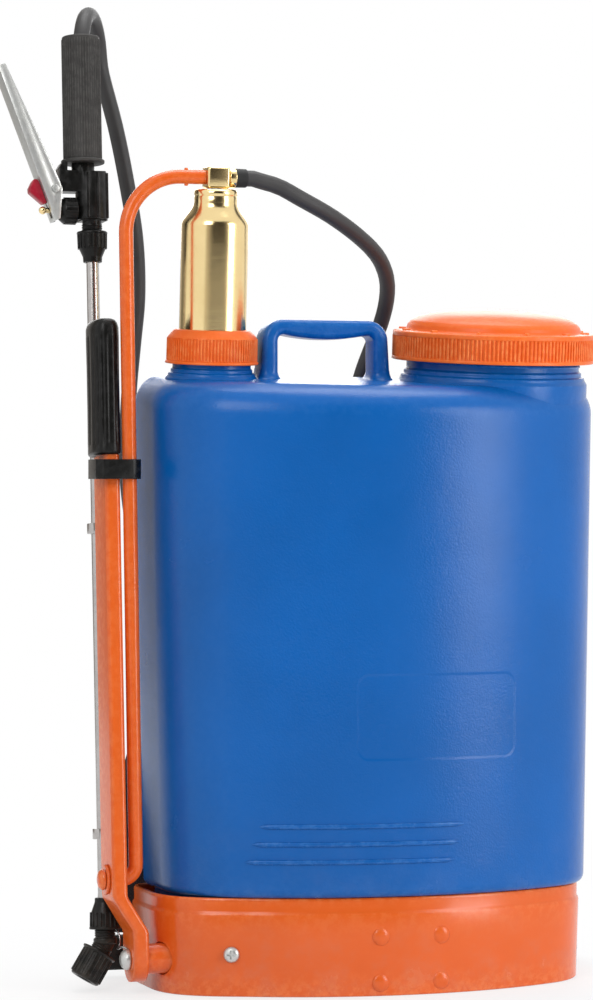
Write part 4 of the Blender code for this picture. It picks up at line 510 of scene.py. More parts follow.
ZINC = metal("zinc", (0.60, 0.61, 0.60), (0.46, 0.47, 0.44), 0.36, (700.0, 700.0, 700.0), 130.0, 0.6,
             depth=0.00001, metallic=0.7)
HOSE, WEBBING = hose_finish(), webbing_finish()


# Mesh making
ON_AXIS = 1e-6
STRAIGHT = radians(165)
ROUTE_STEPS, ROUND_STEPS = 12, 3
WELD, CAD_WELD = 2e-6, 4e-6
CAD_FLAT = radians(0.8)
WORN_BEND = radians(32)
CREASE = 38


def turned(profile, steps):
    """A shape turned about z from (radius, height) pairs. A profile off the axis at both ends is a ring."""
    points, faces, rows = [], [], []
    for radius, height in profile:
        count = 1 if radius < ON_AXIS else steps
        rows.append(range(len(points), len(points) + count))
        angles = [2 * pi * i / steps for i in range(count)]
        points += [Vector((radius * cos(a), radius * sin(a), height)) for a in angles]
    pairs = list(zip(rows, rows[1:]))
    if len(rows[0]) > 1 and len(rows[-1]) > 1:
        pairs.append((rows[-1], rows[0]))
    for low, high in pairs:
        for i in range(steps):
            j = (i + 1) % steps
            corners = (low[i % len(low)], low[j % len(low)], high[j % len(high)], high[i % len(high)])
            corners = list(dict.fromkeys(corners))
            if len(corners) > 2:
                faces.append(corners)
    return points, faces


def drill(radius, start, end, steps=96):
    """A plain round cutter between two heights."""
    return turned([(0, start), (radius, start), (radius, end), (0, end)], steps)


def soften(profile, radius):
    """Rounds a profile's corners. An end on the axis stays as it is."""
    ring = profile[0][0] > ON_AXIS and profile[-1][0] > ON_AXIS
    rounded = []
    for i, corner in enumerate(profile):
        here = Vector(corner)
        back = Vector(profile[i - 1]) - here
        onward = Vector(profile[(i + 1) % len(profile)]) - here
        is_end = not ring and i in (0, len(profile) - 1)
        if is_end or min(back.length, onward.length) < ON_AXIS or back.angle(onward) > STRAIGHT:
            rounded.append(corner)
            continue
        trim = min(radius, back.length * 0.45, onward.length * 0.45)
        first, last = here + back.normalized() * trim, here + onward.normalized() * trim
        for k in range(ROUND_STEPS + 1):
            t = k / ROUND_STEPS
            rounded.append(tuple(first * (1 - t) ** 2 + here * 2 * t * (1 - t) + last * t * t))
    return rounded


def lofted(rings, loop=False):
    """A skin over closed rings of equal count, with flat ends unless the last ring joins the first."""
    count = len(rings[0])
    points = [Vector(p) for ring in rings for p in ring]
    faces = []
    for r in range(len(rings) if loop else len(rings) - 1):
        a, b = r * count, (r + 1) % len(rings) * count
        faces += [[a + i, a + (i + 1) % count, b + (i + 1) % count, b + i] for i in range(count)]
    if not loop:
        faces += [list(range(count)), list(range((len(rings) - 1) * count, len(rings) * count))]
    return points, faces


def smooth_route(points, step):
    """Points about a step apart on a smooth curve through the given ones."""
    knots = [Vector(p) for p in points]
    padded = [2 * knots[0] - knots[1], *knots, 2 * knots[-1] - knots[-2]]
    fine = []
    for a, b, c, d in zip(padded, padded[1:], padded[2:], padded[3:]):
        for i in range(ROUTE_STEPS):
            t = i / ROUTE_STEPS
            fine.append(0.5 * (2 * b + (c - a) * t + (2 * a - 5 * b + 4 * c - d) * t**2
                               + (3 * b - a - 3 * c + d) * t**3))
    fine.append(knots[-1])
    total = sum((q - p).length for p, q in zip(fine, fine[1:]))
    spacing = total / round(total / step)
    route, walked = [fine[0]], 0.0
    for p, q in zip(fine, fine[1:]):
        walked += (q - p).length
        if walked >= spacing * len(route) - 1e-9:
            route.append(q)
    route[-1] = fine[-1]
    return route


def heading(path, i):
    """From the point before to the point after, or from an end to its neighbour."""
    return path[min(i + 1, len(path) - 1)] - path[max(i - 1, 0)]


def swept(path, section, sizes=None, side=None):
    """A closed section of (across, up) pairs carried along a path without twisting, with flat ends."""
    path = [Vector(p) for p in path]
    tangents = [heading(path, i).normalized() for i in range(len(path))]
    across = Vector(side) if side else tangents[0].orthogonal()
    rings = []
    for i, (point, along) in enumerate(zip(path, tangents)):
        if i:
            across = tangents[i - 1].rotation_difference(along) @ across
        across = (across - along * across.dot(along)).normalized()
        up = along.cross(across)
        size = sizes[i] if sizes else 1.0
        rings.append([point + (across * a + up * b) * size for a, b in section])
    return lofted(rings)


def circle(radius, count):
    return [(radius * cos(2 * pi * i / count), radius * sin(2 * pi * i / count)) for i in range(count)]


def arc(x, y, radius, start, end, count):
    angles = [start + (end - start) * i / count for i in range(count + 1)]
    return [(x + radius * cos(a), y + radius * sin(a)) for a in angles]


def round_rectangle(low, high, radius, count=5):
    (x0, y0), (x1, y1) = low, high
    points = []
    for x, y, start in ((x1 - radius, y0 + radius, -pi / 2), (x1 - radius, y1 - radius, 0),
                        (x0 + radius, y1 - radius, pi / 2), (x0 + radius, y0 + radius, pi)):
        points += arc(x, y, radius, start, start + pi / 2, count)
    return points


def merged(*shapes):
    points, faces = [], []
    for more_points, more_faces in shapes:
        start = len(points)
        points += more_points
        faces += [[start + i for i in face] for face in more_faces]
    return points, faces


def moved(shape, place):
    points, faces = shape
    return [place @ Vector(p) for p in points], faces


def mark_edges(mesh):
    """Stores how sharply each point sticks out, for the rubbed edges in the materials."""
    form = bmesh.new()
    form.from_mesh(mesh)
    marks = [0.0] * len(form.verts)
    for edge in form.edges:
        if len(edge.link_faces) == 2:
            bend = edge.calc_face_angle_signed(0.0)
            for vert in edge.verts:
                marks[vert.index] = max(marks[vert.index], min(1.0, bend / WORN_BEND))
    form.free()
    layer = mesh.attributes.new("edge", "FLOAT", "POINT")
    layer.data.foreach_set("value", marks)


def tidy_mesh(mesh, crease):
    """Merges doubles, turns faces outwards and shades smooth up to the crease angle, in degrees."""
    form = bmesh.new()
    form.from_mesh(mesh)
    bmesh.ops.remove_doubles(form, verts=form.verts, dist=WELD)
    bmesh.ops.recalc_face_normals(form, faces=form.faces)
    form.to_mesh(mesh)
    form.free()
    mesh.shade_smooth()
    mesh.set_sharp_from_angle(angle=radians(crease))


def settle(obj):
    """Makes the modifiers' result the object's own mesh."""
    graph = bpy.context.evaluated_depsgraph_get()
    mesh = bpy.data.meshes.new_from_object(obj.evaluated_get(graph), depsgraph=graph)
    obj.modifiers.clear()
    obj.data = mesh


def bevel(obj, width, segments, angle=35):
    modifier = obj.modifiers.new("bevel", "BEVEL")
    modifier.width, modifier.segments, modifier.limit_method = width * MM, segments, "ANGLE"
    modifier.angle_limit = radians(angle)
    modifier.harden_normals = False


def carve(obj, *shapes):
    """Takes the shapes out of the object."""
    for number, shape in enumerate(shapes):
        tool = bare(f"{obj.name}_cutter_{number}", shape)
        modifier = obj.modifiers.new(f"cut_{number}", "BOOLEAN")
        modifier.operation, modifier.object, modifier.solver = "DIFFERENCE", tool, "EXACT"
    settle(obj)
    for number in range(len(shapes)):
        bpy.data.objects.remove(bpy.data.objects[f"{obj.name}_cutter_{number}"])


def bare(name, shape, place=Matrix(), crease=CREASE, corners=None, uv_name="uv"):
    """An object in metres from a shape in millimetres, not yet riding on anything."""
    points, faces = shape
    mesh = bpy.data.meshes.new(name)
    mesh.from_pydata([tuple((place @ Vector(p)) * MM) for p in points], [], faces)
    if corners:
        layer = mesh.uv_layers.new(name=uv_name)
        layer.data.foreach_set("uv", [value for face in corners for pair in face for value in pair])
    tidy_mesh(mesh, crease)
    return new_object(name, mesh)


def attach(obj, finish, body, *nodes, crease=None):
    """Gives the object its finish, its body and the CAD nodes that it stands for."""
    if crease:
        obj.data.shade_smooth()
        obj.data.set_sharp_from_angle(angle=radians(crease))
    if "edge" not in obj.data.attributes:
        mark_edges(obj.data)
    obj.data.materials.clear()
    obj.data.materials.append(finish)
    if body:
        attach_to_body(obj, body)
    if nodes:
        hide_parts(*nodes)
    return obj


def piece(name, shape, finish, body, *nodes, place=Matrix(), crease=CREASE):
    return attach(bare(name, shape, place, crease), finish, body, *nodes)


def dressed(node, finish, width, segments=2):
    """A merged copy of a CAD node with its edges softened, in place of the node."""
    mesh = CAD[node].data.copy()
    mesh.name = f"{node}_finished"
    form = bmesh.new()
    form.from_mesh(mesh)
    bmesh.ops.remove_doubles(form, verts=form.verts, dist=CAD_WELD)
    bmesh.ops.dissolve_limit(form, angle_limit=CAD_FLAT, verts=form.verts, edges=form.edges)
    form.to_mesh(mesh)
    form.free()
    for name in [layer.name for layer in mesh.uv_layers]:
        mesh.uv_layers.remove(mesh.uv_layers[name])
    obj = new_object(f"{node}_finished", mesh)
    bevel(obj, width, segments)
    settle(obj)
    return attach(obj, finish, CAD[node]["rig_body"], node, crease=CREASE)


# Geometry Nodes for what repeats
THREAD_STEPS, FINE_SIDES, RIB_SIDES = 40, 6, 8
DOME_SEGMENTS, DOME_RINGS = 28, 16


def grower(name, inputs, takes_mesh=False):
    """An empty tree with its sockets made. Returns the tree, its inputs' sockets and its output node."""
    tree = bpy.data.node_groups.new(name, "GeometryNodeTree")
    if takes_mesh:
        tree.interface.new_socket("Line", in_out="INPUT", socket_type="NodeSocketGeometry")
    for label, kind in inputs.items():
        tree.interface.new_socket(label, in_out="INPUT", socket_type=kind)
    tree.interface.new_socket("Finish", in_out="INPUT", socket_type="NodeSocketMaterial")
    tree.interface.new_socket("Mesh", in_out="OUTPUT", socket_type="NodeSocketGeometry")
    return tree, tree.nodes.new("NodeGroupInput").outputs, tree.nodes.new("NodeGroupOutput").inputs


def close_tree(tree, given, made, shape):
    """Ends a tree in plain, painted mesh."""
    real = add(tree, "GeometryNodeRealizeInstances", None, {0: shape}).outputs[0]
    painted = add(tree, "GeometryNodeSetMaterial", None, {"Geometry": real, "Material": given["Finish"]})
    tree.links.new(painted.outputs[0], made["Mesh"])
    return tree


def geometry(tree, kind, **inputs):
    """The result of a Geometry node whose inputs are given with _ for a space in their labels."""
    named = {label.replace("_", " "): value for label, value in inputs.items()}
    return add(tree, f"GeometryNode{kind}", None, named).outputs[0]


def round_bar(tree, curve, thickness, sides):
    """A round bar along a curve, with closed ends."""
    radius = maths(tree, "MULTIPLY", thickness, 0.5)
    ring = geometry(tree, "CurvePrimitiveCircle", Resolution=sides, Radius=radius)
    return geometry(tree, "CurveToMesh", Curve=curve, Profile_Curve=ring, Fill_Caps=True)


def straight_bar(tree, start, end, thickness, sides):
    return round_bar(tree, geometry(tree, "CurvePrimitiveLine", Start=start, End=end), thickness, sides)


def lifted(tree, shape, height):
    return geometry(tree, "Transform", Geometry=shape, Translation=xyz(tree, 0.0, 0.0, height))


def xyz(tree, x, y=0.0, z=0.0):
    return add(tree, "ShaderNodeCombineXYZ", None, {0: x, 1: y, 2: z}).outputs[0]


def make_rib_tree():
    """Straight ribs set round an axis, leaning in or out where the two radii differ."""
    tree, given, made = grower("ribs_round", {
        "Count": "NodeSocketInt", "Foot Radius": FLOAT, "Top Radius": FLOAT, "Foot Height": FLOAT,
        "Top Height": FLOAT, "Thickness": FLOAT, "Sides": "NodeSocketInt"})
    ring = geometry(tree, "MeshCircle", Vertices=given["Count"], Radius=given["Foot Radius"])
    end = xyz(tree, maths(tree, "SUBTRACT", given["Top Radius"], given["Foot Radius"]), 0.0,
              maths(tree, "SUBTRACT", given["Top Height"], given["Foot Height"]))
    rib = straight_bar(tree, (0, 0, 0), end, given["Thickness"], given["Sides"])
    place = split(tree, geometry(tree, "InputPosition"))
    turn = xyz(tree, 0.0, 0.0, maths(tree, "ARCTAN2", place[1], place[0]))
    row = geometry(tree, "InstanceOnPoints", Points=ring, Instance=rib, Rotation=turn)
    return close_tree(tree, given, made, lifted(tree, row, given["Foot Height"]))


def make_thread_tree():
    """A screw thread: a round ridge on a rising spiral."""
    tree, given, made = grower("screw_thread", {
        "Radius": FLOAT, "Foot Height": FLOAT, "Height": FLOAT, "Turns": FLOAT, "Ridge": FLOAT})
    spiral = geometry(tree, "CurveSpiral", Resolution=THREAD_STEPS, Rotations=given["Turns"],
                      Height=given["Height"], Start_Radius=given["Radius"], End_Radius=given["Radius"])
    ridge = round_bar(tree, spiral, given["Ridge"], FINE_SIDES)
    return close_tree(tree, given, made, lifted(tree, ridge, given["Foot Height"]))


def make_dimple_tree():
    """Pressed round dimples on a grid, lying in the XY plane with their domes along z."""
    tree, given, made = grower("pressed_dimples", {
        "Spacing Across": FLOAT, "Spacing Up": FLOAT, "Radius": FLOAT, "Depth": FLOAT})
    grid = geometry(tree, "MeshGrid", Size_X=given["Spacing Across"], Size_Y=given["Spacing Up"],
                    Vertices_X=2, Vertices_Y=2)
    dome = geometry(tree, "MeshUVSphere", Segments=DOME_SEGMENTS, Rings=DOME_RINGS, Radius=1.0)
    size = xyz(tree, given["Radius"], given["Radius"], given["Depth"])
    domes = geometry(tree, "InstanceOnPoints", Points=grid, Instance=dome, Scale=size)
    return close_tree(tree, given, made, domes)


def make_stitch_tree():
    """Stitches laid end to end along a line."""
    tree, given, made = grower("stitches", {"Pitch": FLOAT, "Length": FLOAT, "Thread": FLOAT}, True)
    line = geometry(tree, "MeshToCurve", Mesh=given["Line"])
    dots = add(tree, "GeometryNodeResampleCurve", {"mode": "LENGTH"},
               {"Curve": line, "Length": given["Pitch"]}).outputs[0]
    half = maths(tree, "MULTIPLY", given["Length"], 0.5)
    start = xyz(tree, maths(tree, "MULTIPLY", half, -1.0))
    stitch = straight_bar(tree, start, xyz(tree, half), given["Thread"], FINE_SIDES)
    along = geometry(tree, "InputTangent")
    turn = add(tree, "FunctionNodeAlignRotationToVector", {"axis": "X"}, {"Vector": along}).outputs[0]
    row = geometry(tree, "InstanceOnPoints", Points=dots, Instance=stitch, Rotation=turn)
    return close_tree(tree, given, made, row)


RIBS, THREAD, DIMPLES, STITCHES = make_rib_tree(), make_thread_tree(), make_dimple_tree(), make_stitch_tree()


def grown(name, tree, finish, values, place=Matrix(), line=None):
    """A plain mesh object, in metres, from a tree that works in millimetres."""
    mesh = bpy.data.meshes.new(name)
    if line:
        mesh.from_pydata([tuple(p) for p in line], [(i, i + 1) for i in range(len(line) - 1)], [])
    obj = new_object(name, mesh)
    modifier = obj.modifiers.new("grow", "NODES")
    modifier.node_group = tree
    for item in tree.interface.items_tree:
        if item.in_out == "INPUT" and item.socket_type != "NodeSocketGeometry":
            value = finish if item.name == "Finish" else values[item.name]
            modifier[item.identifier] = float(value) if item.socket_type == FLOAT else value
    settle(obj)
    obj.data.transform(Matrix.Scale(MM, 4) @ place)
    tidy_mesh(obj.data, 50)
    return obj


def ribs(name, finish, body, place, count, foot, top, thickness, sides=RIB_SIDES):
    """Ribs round an axis from (radius, height) at the foot to (radius, height) at the top."""
    sizes = {"Count": count, "Foot Radius": foot[0], "Top Radius": top[0], "Foot Height": foot[1],
             "Top Height": top[1], "Thickness": thickness, "Sides": sides}
    attach(grown(name, RIBS, finish, sizes, place), finish, body)


def thread(name, finish, body, place, radius, foot, height, turns, ridge):
    sizes = {"Radius": radius, "Foot Height": foot, "Height": height, "Turns": turns, "Ridge": ridge}
    attach(grown(name, THREAD, finish, sizes, place), finish, body)


# Hose: the route's points are those of the CAD model
OUTLET_HEIGHT = 153.8
HOSE_RADIUS = 6.3
HOSE_START = PUMP @ Vector((21.3, 0, OUTLET_HEIGHT))
PUMP_HOSE_ROUTE = (
    (-96, 2, 622), (-78, 3, 617.5), (-60, 5, 609), (-32, 15, 597), (-4, 31, 583), (18, 48, 569),
    (32, 66, 553), (38, 83, 536), (37, 95, 517), (31, 102, 497), (24, 106, 475), (17, 109, 445),
    (11, 111, 410), (6, 113, 370), (0, 116, 330), (-13, 120, 292), (-33, 125, 264),
)
LANCE_HOSE_ROUTE = (
    (-95, 129, 256), (-119, 131, 273), (-141, 132.5, 302), (-156, 134, 340),
    (-163, 136, 385), (-163.5, 137, 425), (-161.5, 137.5, 466), (-158, 138, 501), (-154.5, 138, 540),
    (-156, 138.5, 584), (-163, 139, 628), (-172, 139.5, 672), (-183, 139, 712),
)
HOSE_MEETING = Vector((-65, 128, 250))
HOSE_LEAD = Vector((8, 0, 0))
HOSE_LOOP_RADIUS, HOSE_LOOP_TURN = 38, radians(64)
HOSE_MOUTH = HAND_GRIP @ Vector((0, 0, 714.3))
HOSE_SIDES, HOSE_STEP, HOSE_LOOP_STEP = 24, 8, 7
HOSE_LOOP_ARC, HOSE_LOOP_POINTS = pi * 0.96, 6


def lengths_along(path):
    """How far each point of a path lies from its start, in metres."""
    walked = [0.0]
    for p, q in zip(path, path[1:]):
        walked.append(walked[-1] + (q - p).length * MM)
    return walked


def hose_corners(path, count):
    """UV corners of a swept hose, round it and along it in metres, and of its two flat ends."""
    walked = lengths_along(path)
    corners = []
    for low, high in zip(walked, walked[1:]):
        corners += [[(i / count, low), ((i + 1) / count, low), ((i + 1) / count, high), (i / count, high)]
                    for i in range(count)]
    return corners + [[(i / count, end) for i in range(count)] for end in (0.0, walked[-1])]


def hose_run(name, node, path):
    """One run of hose that stands for a CAD node. It rides on no body."""
    shape = swept(path, circle(HOSE_RADIUS, HOSE_SIDES))
    obj = bare(name, shape, crease=60, corners=hose_corners(path, HOSE_SIDES), uv_name="hose")
    attach(obj, HOSE, None, node)
    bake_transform(obj)


def make_hose():
    """Two runs that meet behind the tank: one from the pump's chamber, the other on to the valve on the
    lever. Neither rides on a body.
    """
    route = [HOSE_START + HOSE_LEAD, *map(Vector, PUMP_HOSE_ROUTE), HOSE_MEETING + HOSE_LEAD]
    path = [HOSE_START, *smooth_route(route, HOSE_STEP), HOSE_MEETING]
    hose_run("hose_from_pump", "hose_pump_half", path)
    up = HAND_GRIP.to_3x3() @ Vector((0, 0, 1))
    over = Vector((cos(HOSE_LOOP_TURN), sin(HOSE_LOOP_TURN), 0))
    spring = HOSE_MOUTH + up * HOSE_LEAD.x
    loop = []
    for i in range(HOSE_LOOP_POINTS + 1):
        angle = HOSE_LOOP_ARC * i / HOSE_LOOP_POINTS
        loop.append(spring + over * HOSE_LOOP_RADIUS * (1 - cos(angle)) + up * HOSE_LOOP_RADIUS * sin(angle))
    route = [HOSE_MEETING - HOSE_LEAD, *map(Vector, LANCE_HOSE_ROUTE), *loop[::-1]]
    path = [HOSE_MEETING, *smooth_route(route, HOSE_LOOP_STEP), HOSE_MOUTH]
    hose_run("hose_to_valve", "hose_lance_half", path)


# Tank
FRONT_STEPS, CORNER_STEPS, BACK_STEPS, HOLLOW_STEPS = 26, 22, 14, 30
FOOT_STEPS, FOOT_ROUND, FOOT_INSET, SHOULDER_STEPS = 6, 7, 5, 14
WALL_HEIGHTS = range(100, 441, 20)
FILLER_BORE, FILLER_CUT_DEPTH = 63, 60
PUMP_BORE, PUMP_CUT_DEPTH = 27.7, 225
CUT_PROUD = 40


def tank_plan(inset, scale):
    """The tank's outline seen from above, moved inwards by the inset, starting at the front middle."""
    radius, corner = FRONT_RADIUS - inset, CORNER_RADIUS - inset
    back_corner, side = max(BACK_RADIUS - inset, 2), TANK_HALF_WIDTH - inset
    front, back = TANK_FRONT + inset, TANK_BACK - inset
    centre_y, corner_x = front + radius, side - corner
    corner_y = centre_y - sqrt((radius - corner) ** 2 - corner_x**2)
    turn = atan2(corner_x, centre_y - corner_y)
    right = arc(0, centre_y, radius, -pi / 2, -pi / 2 + turn, FRONT_STEPS)
    right += arc(corner_x, corner_y, corner, -pi / 2 + turn, 0, CORNER_STEPS)[1:]
    right += arc(side - back_corner, back - back_corner, back_corner, 0, pi / 2, BACK_STEPS)
    hollow = side - back_corner
    for i in range(1, HOLLOW_STEPS + 1):
        x = hollow * (1 - i / HOLLOW_STEPS)
        right.append((x, back - BACK_HOLLOW * (1 + cos(pi * x / hollow)) / 2))
    left = [(-x, y) for x, y in right[-2:0:-1]]
    return [(x * scale, y * scale) for x, y in right + left]


def taper(z):
    """The tank's size at height z as a share of its size at the deck."""
    return 1 - (1 - FOOT_SCALE) * (DECK_HEIGHT - z) / (DECK_HEIGHT - BASE_HEIGHT)


def tank_ring(z, inset):
    """The tank's outline at height z, tipped with the deck's slope towards the top."""
    lift = max(0.0, (z - SLOPE_START) / (DECK_HEIGHT - SLOPE_START)) * tan(DECK_SLOPE)
    return [(x, y, z + y * lift) for x, y in tank_plan(inset, taper(min(z, DECK_HEIGHT)))]


def front_y(x, z):
    """The tank's front surface at x and height z."""
    scale = taper(z)
    return scale * (TANK_FRONT + FRONT_RADIUS - sqrt(FRONT_RADIUS**2 - (x / scale) ** 2))


def back_y(x, z):
    """The tank's back surface at x and height z."""
    scale = taper(min(z, DECK_HEIGHT))
    hollow = TANK_HALF_WIDTH - BACK_RADIUS
    x = min(abs(x) / scale, hollow)
    return scale * (TANK_BACK - BACK_HOLLOW * (1 + cos(pi * x / hollow)) / 2)


def make_tank():
    """The tank's shell from its spigot in the base up to the deck, with both openings cut."""
    rings = [tank_ring(z, SPIGOT_INSET) for z in (BASE_HEIGHT - SPIGOT_DEPTH, BASE_HEIGHT)]
    for i in range(FOOT_STEPS + 1):
        angle = pi / 2 * i / FOOT_STEPS
        rings.append(tank_ring(BASE_HEIGHT + FOOT_ROUND * (1 - cos(angle)), FOOT_INSET * (1 - sin(angle))))
    rings += [tank_ring(z, 0) for z in WALL_HEIGHTS]
    for i in range(SHOULDER_STEPS + 1):
        angle = pi / 2 * i / SHOULDER_STEPS
        drop, inset = TANK_SHOULDER * (1 - sin(angle)), TANK_SHOULDER * (1 - cos(angle))
        rings.append(tank_ring(DECK_HEIGHT - drop, inset))
    shell = bare("tank_shell", lofted(rings))
    carve(shell, moved(drill(FILLER_BORE, CUT_PROUD, -FILLER_CUT_DEPTH), FILLER),
          moved(drill(PUMP_BORE, CUT_PROUD, -PUMP_CUT_DEPTH), PUMP))
    attach(shell, BLUE, "frame", "tank", crease=30)
    make_necks()


def make_necks():
    """Threaded necks under the lid and the pump cap, whose feet run down into the deck."""
    filler = [(FILLER_BORE, 27), (68, 27), (68, 9.6), (70, 8.4), (70, 5.4), (72.2, 4.6), (72.6, 2.6),
              (73.6, 0.9), (74.6, -0.4), (74.6, -20), (FILLER_BORE, -20)]
    pump = [(PUMP_BORE, 24), (30.3, 24), (30.3, 7.4), (31.6, 6.4), (31.6, 4.2), (33.4, 3.4), (33.8, 1.8),
            (34.8, 0.4), (35.8, -0.5), (35.8, -16), (PUMP_BORE, -16)]
    filler_neck = moved(turned(soften(filler, 1.2), 128), FILLER)
    pump_neck = moved(turned(soften(pump, 1.0), 96), PUMP)
    piece("tank_necks", merged(filler_neck, pump_neck), BLUE, "frame")
    thread("filler_neck_thread", BLUE, "frame", FILLER, 67.9, 13, 9, 1.6, 2.6)
    thread("pump_neck_thread", BLUE, "frame", PUMP, 30.2, 12, 8, 2.2, 2.0)


HANDLE_CORNER, HANDLE_INNER_CORNER, HANDLE_ROUND = 16, 5, 5.5
HANDLE_FOOT_SPREAD, HANDLE_FOOT_SINK, HANDLE_SAG_STEPS = 2, 4, 16
FLARE_OUT, FLARE_REACH, FLARE_HEIGHT, FLARE_SINK, FLARE_STEPS = 1.8, 6, 7, 1, 7


def handle_outline(left, right):
    """The arch seen from the front: outside over the top, then back along the sagging underside."""
    foot = DECK_HEIGHT + HANDLE_Y * tan(DECK_SLOPE) - HANDLE_FOOT_SINK
    corner, inner = HANDLE_CORNER, HANDLE_INNER_CORNER
    under = HANDLE_TOP - HANDLE_BAR
    outline = [(HANDLE_LEFT - HANDLE_FOOT_SPREAD, foot), (HANDLE_LEFT, HANDLE_TOP - corner)]
    outline += arc(HANDLE_LEFT + corner, HANDLE_TOP - corner, corner, pi, pi / 2, 10)
    outline += arc(HANDLE_RIGHT - corner, HANDLE_TOP - corner, corner, pi / 2, 0, 10)
    outline += [(HANDLE_RIGHT + HANDLE_FOOT_SPREAD, foot), (right, foot), (right, under - inner)]
    outline += arc(right - inner, under - inner, inner, 0, pi / 2, 4)[1:]
    middle, half = (left + right) / 2, (right - left) / 2 - inner
    for i in range(1, HANDLE_SAG_STEPS):
        share = 1 - 2 * i / HANDLE_SAG_STEPS
        outline.append((middle + share * half, under - HANDLE_SAG * (1 - share**2)))
    outline += arc(left + inner, under - inner, inner, pi / 2, pi, 4)[:-1]
    return outline + [(left, under - inner), (left, foot)]


def make_handle():
    """The carry handle's arch, with flared feet that run into the deck."""
    left, right = HANDLE_LEFT + HANDLE_LEG, HANDLE_RIGHT - HANDLE_LEG
    low, high = HANDLE_Y - HANDLE_DEPTH / 2, HANDLE_Y + HANDLE_DEPTH / 2
    outline = handle_outline(left, right)
    arch = bare("carry_handle_arch", lofted([[(x, y, z) for x, z in outline] for y in (low, high)]))
    bevel(arch, HANDLE_ROUND, 5, 50)
    settle(arch)
    attach(arch, BLUE, "frame", "carry_handle", crease=32)
    flares = []
    for x0, x1 in ((HANDLE_LEFT - FLARE_OUT, left), (right, HANDLE_RIGHT + FLARE_OUT)):
        rings = []
        for i in range(FLARE_STEPS + 1):
            angle = pi / 2 * i / FLARE_STEPS
            spread = FLARE_REACH * (1 - cos(angle))
            height = FLARE_HEIGHT - (FLARE_HEIGHT + FLARE_SINK) * sin(angle)
            ring = round_rectangle((x0 - spread, low - spread), (x1 + spread, high + spread),
                                   HANDLE_ROUND + spread)
            rings.append([(x, y, DECK_HEIGHT + y * tan(DECK_SLOPE) + height) for x, y in ring])
        flares.append(lofted(rings))
    piece("carry_handle_feet", merged(*flares), BLUE, "frame", crease=60)


STRIPE_STEPS, STRIPE_TAPER, STRIPE_PROUD = 44, 1.5, 0.1
STRIPE_HALF_HEIGHT, STRIPE_DEPTH, STRIPE_SIDES = 1.9, 1.6, 14


def make_stripes():
    """Three plain raised stripes across the lower front of the tank."""
    section = [(STRIPE_HALF_HEIGHT * c, STRIPE_DEPTH * s) for c, s in circle(1, STRIPE_SIDES)]
    shapes = []
    for start, end, z in STRIPES:
        count = STRIPE_STEPS
        xs = [start + (end - start) * i / count for i in range(count + 1)]
        path = [(x, front_y(x, z) - STRIPE_PROUD, z) for x in xs]
        sizes = [min(1.0, sqrt(max(0.02, min(i, count - i) / STRIPE_TAPER))) for i in range(count + 1)]
        shapes.append(swept(path, section, sizes, side=(0, 0, 1)))
    piece("tank_stripes", merged(*shapes), BLUE, "frame", crease=60)


# Base
BOSS_HOLE, BOSS_CUT = 12.7, (-30, 40)
DIMPLE_FACE = Matrix.Translation((0, -83.2, 27.5)) @ Matrix.Rotation(pi / 2 + radians(1.8), 4, "X")
DIMPLE_SIZES = {"Spacing Across": 48, "Spacing Up": 35, "Radius": 6.9, "Depth": 2.6}


def lever_side_x(x):
    """Moves what lies far to the left outwards, because the base stands out on the lever's side."""
    share = min(max((-x - LEVER_SIDE_START) / (LEVER_SIDE_END - LEVER_SIDE_START), 0), 1)
    return x - LEVER_SIDE_BULGE * share * share * (3 - 2 * share)


def base_ring(z, inset):
    """The base's outline at height z, which narrows towards its foot."""
    share = min(max(z / BASE_HEIGHT, 0), 1)
    slope = BASE_INSET_FOOT + (BASE_INSET_TOP - BASE_INSET_FOOT) * share
    return [(lever_side_x(x), y, z) for x, y in tank_plan(slope + inset, FOOT_SCALE)]


def make_base():
    """The base's sheet with its bead and pressed dimples, and the pivot's bolt and bracket."""
    outside = [(0, 0.7), (0.7, 0), (20, 0), (40, 0), (BEAD_HEIGHT - 1, 0), (BEAD_HEIGHT + 0.4, 0.35),
               (BEAD_HEIGHT + 1.6, 1.2), (BEAD_HEIGHT + 3, BEAD_STEP), (BASE_HEIGHT - 3, BEAD_STEP),
               (BASE_HEIGHT - 1.4, BEAD_STEP + 0.3), (BASE_HEIGHT - 0.6, BEAD_STEP + 1)]
    rings = [base_ring(z, inset) for z, inset in outside]
    rings += [base_ring(z, inset + BASE_SHEET) for z, inset in outside[::-1]]
    skirt = bare("base_skirt_sheet", lofted(rings, loop=True))
    carve(skirt, moved(drill(BOSS_HOLE, *BOSS_CUT, 48), Matrix.Translation(PIVOT) @ ALONG_X))
    attach(skirt, ENAMEL, "frame", "base_skirt", crease=34)
    attach(grown("base_dimples", DIMPLES, ENAMEL, DIMPLE_SIZES, DIMPLE_FACE), ENAMEL, "frame")
    for node in ("base_cross_brace", "pivot_bracket"):
        dressed(node, ENAMEL, 0.5)
    for node in ("base_screw", "base_screw_nut", "pivot_nut"):
        dressed(node, ZINC, 0.2)
    head = [(0, -209.2), (3.2, -209.0), (6.0, -207.6), (7.6, -205.4), (8.0, -203.4), (7.8, -202.3),
            (5, -202.3), (5, -135), (0, -135)]
    bolt = moved(turned(soften(head, 0.6), 40), Matrix.Translation((0, PIVOT[1], PIVOT[2])) @ ALONG_X)
    piece("pivot_bolt_turned", bolt, ZINC, "frame", "pivot_bolt")


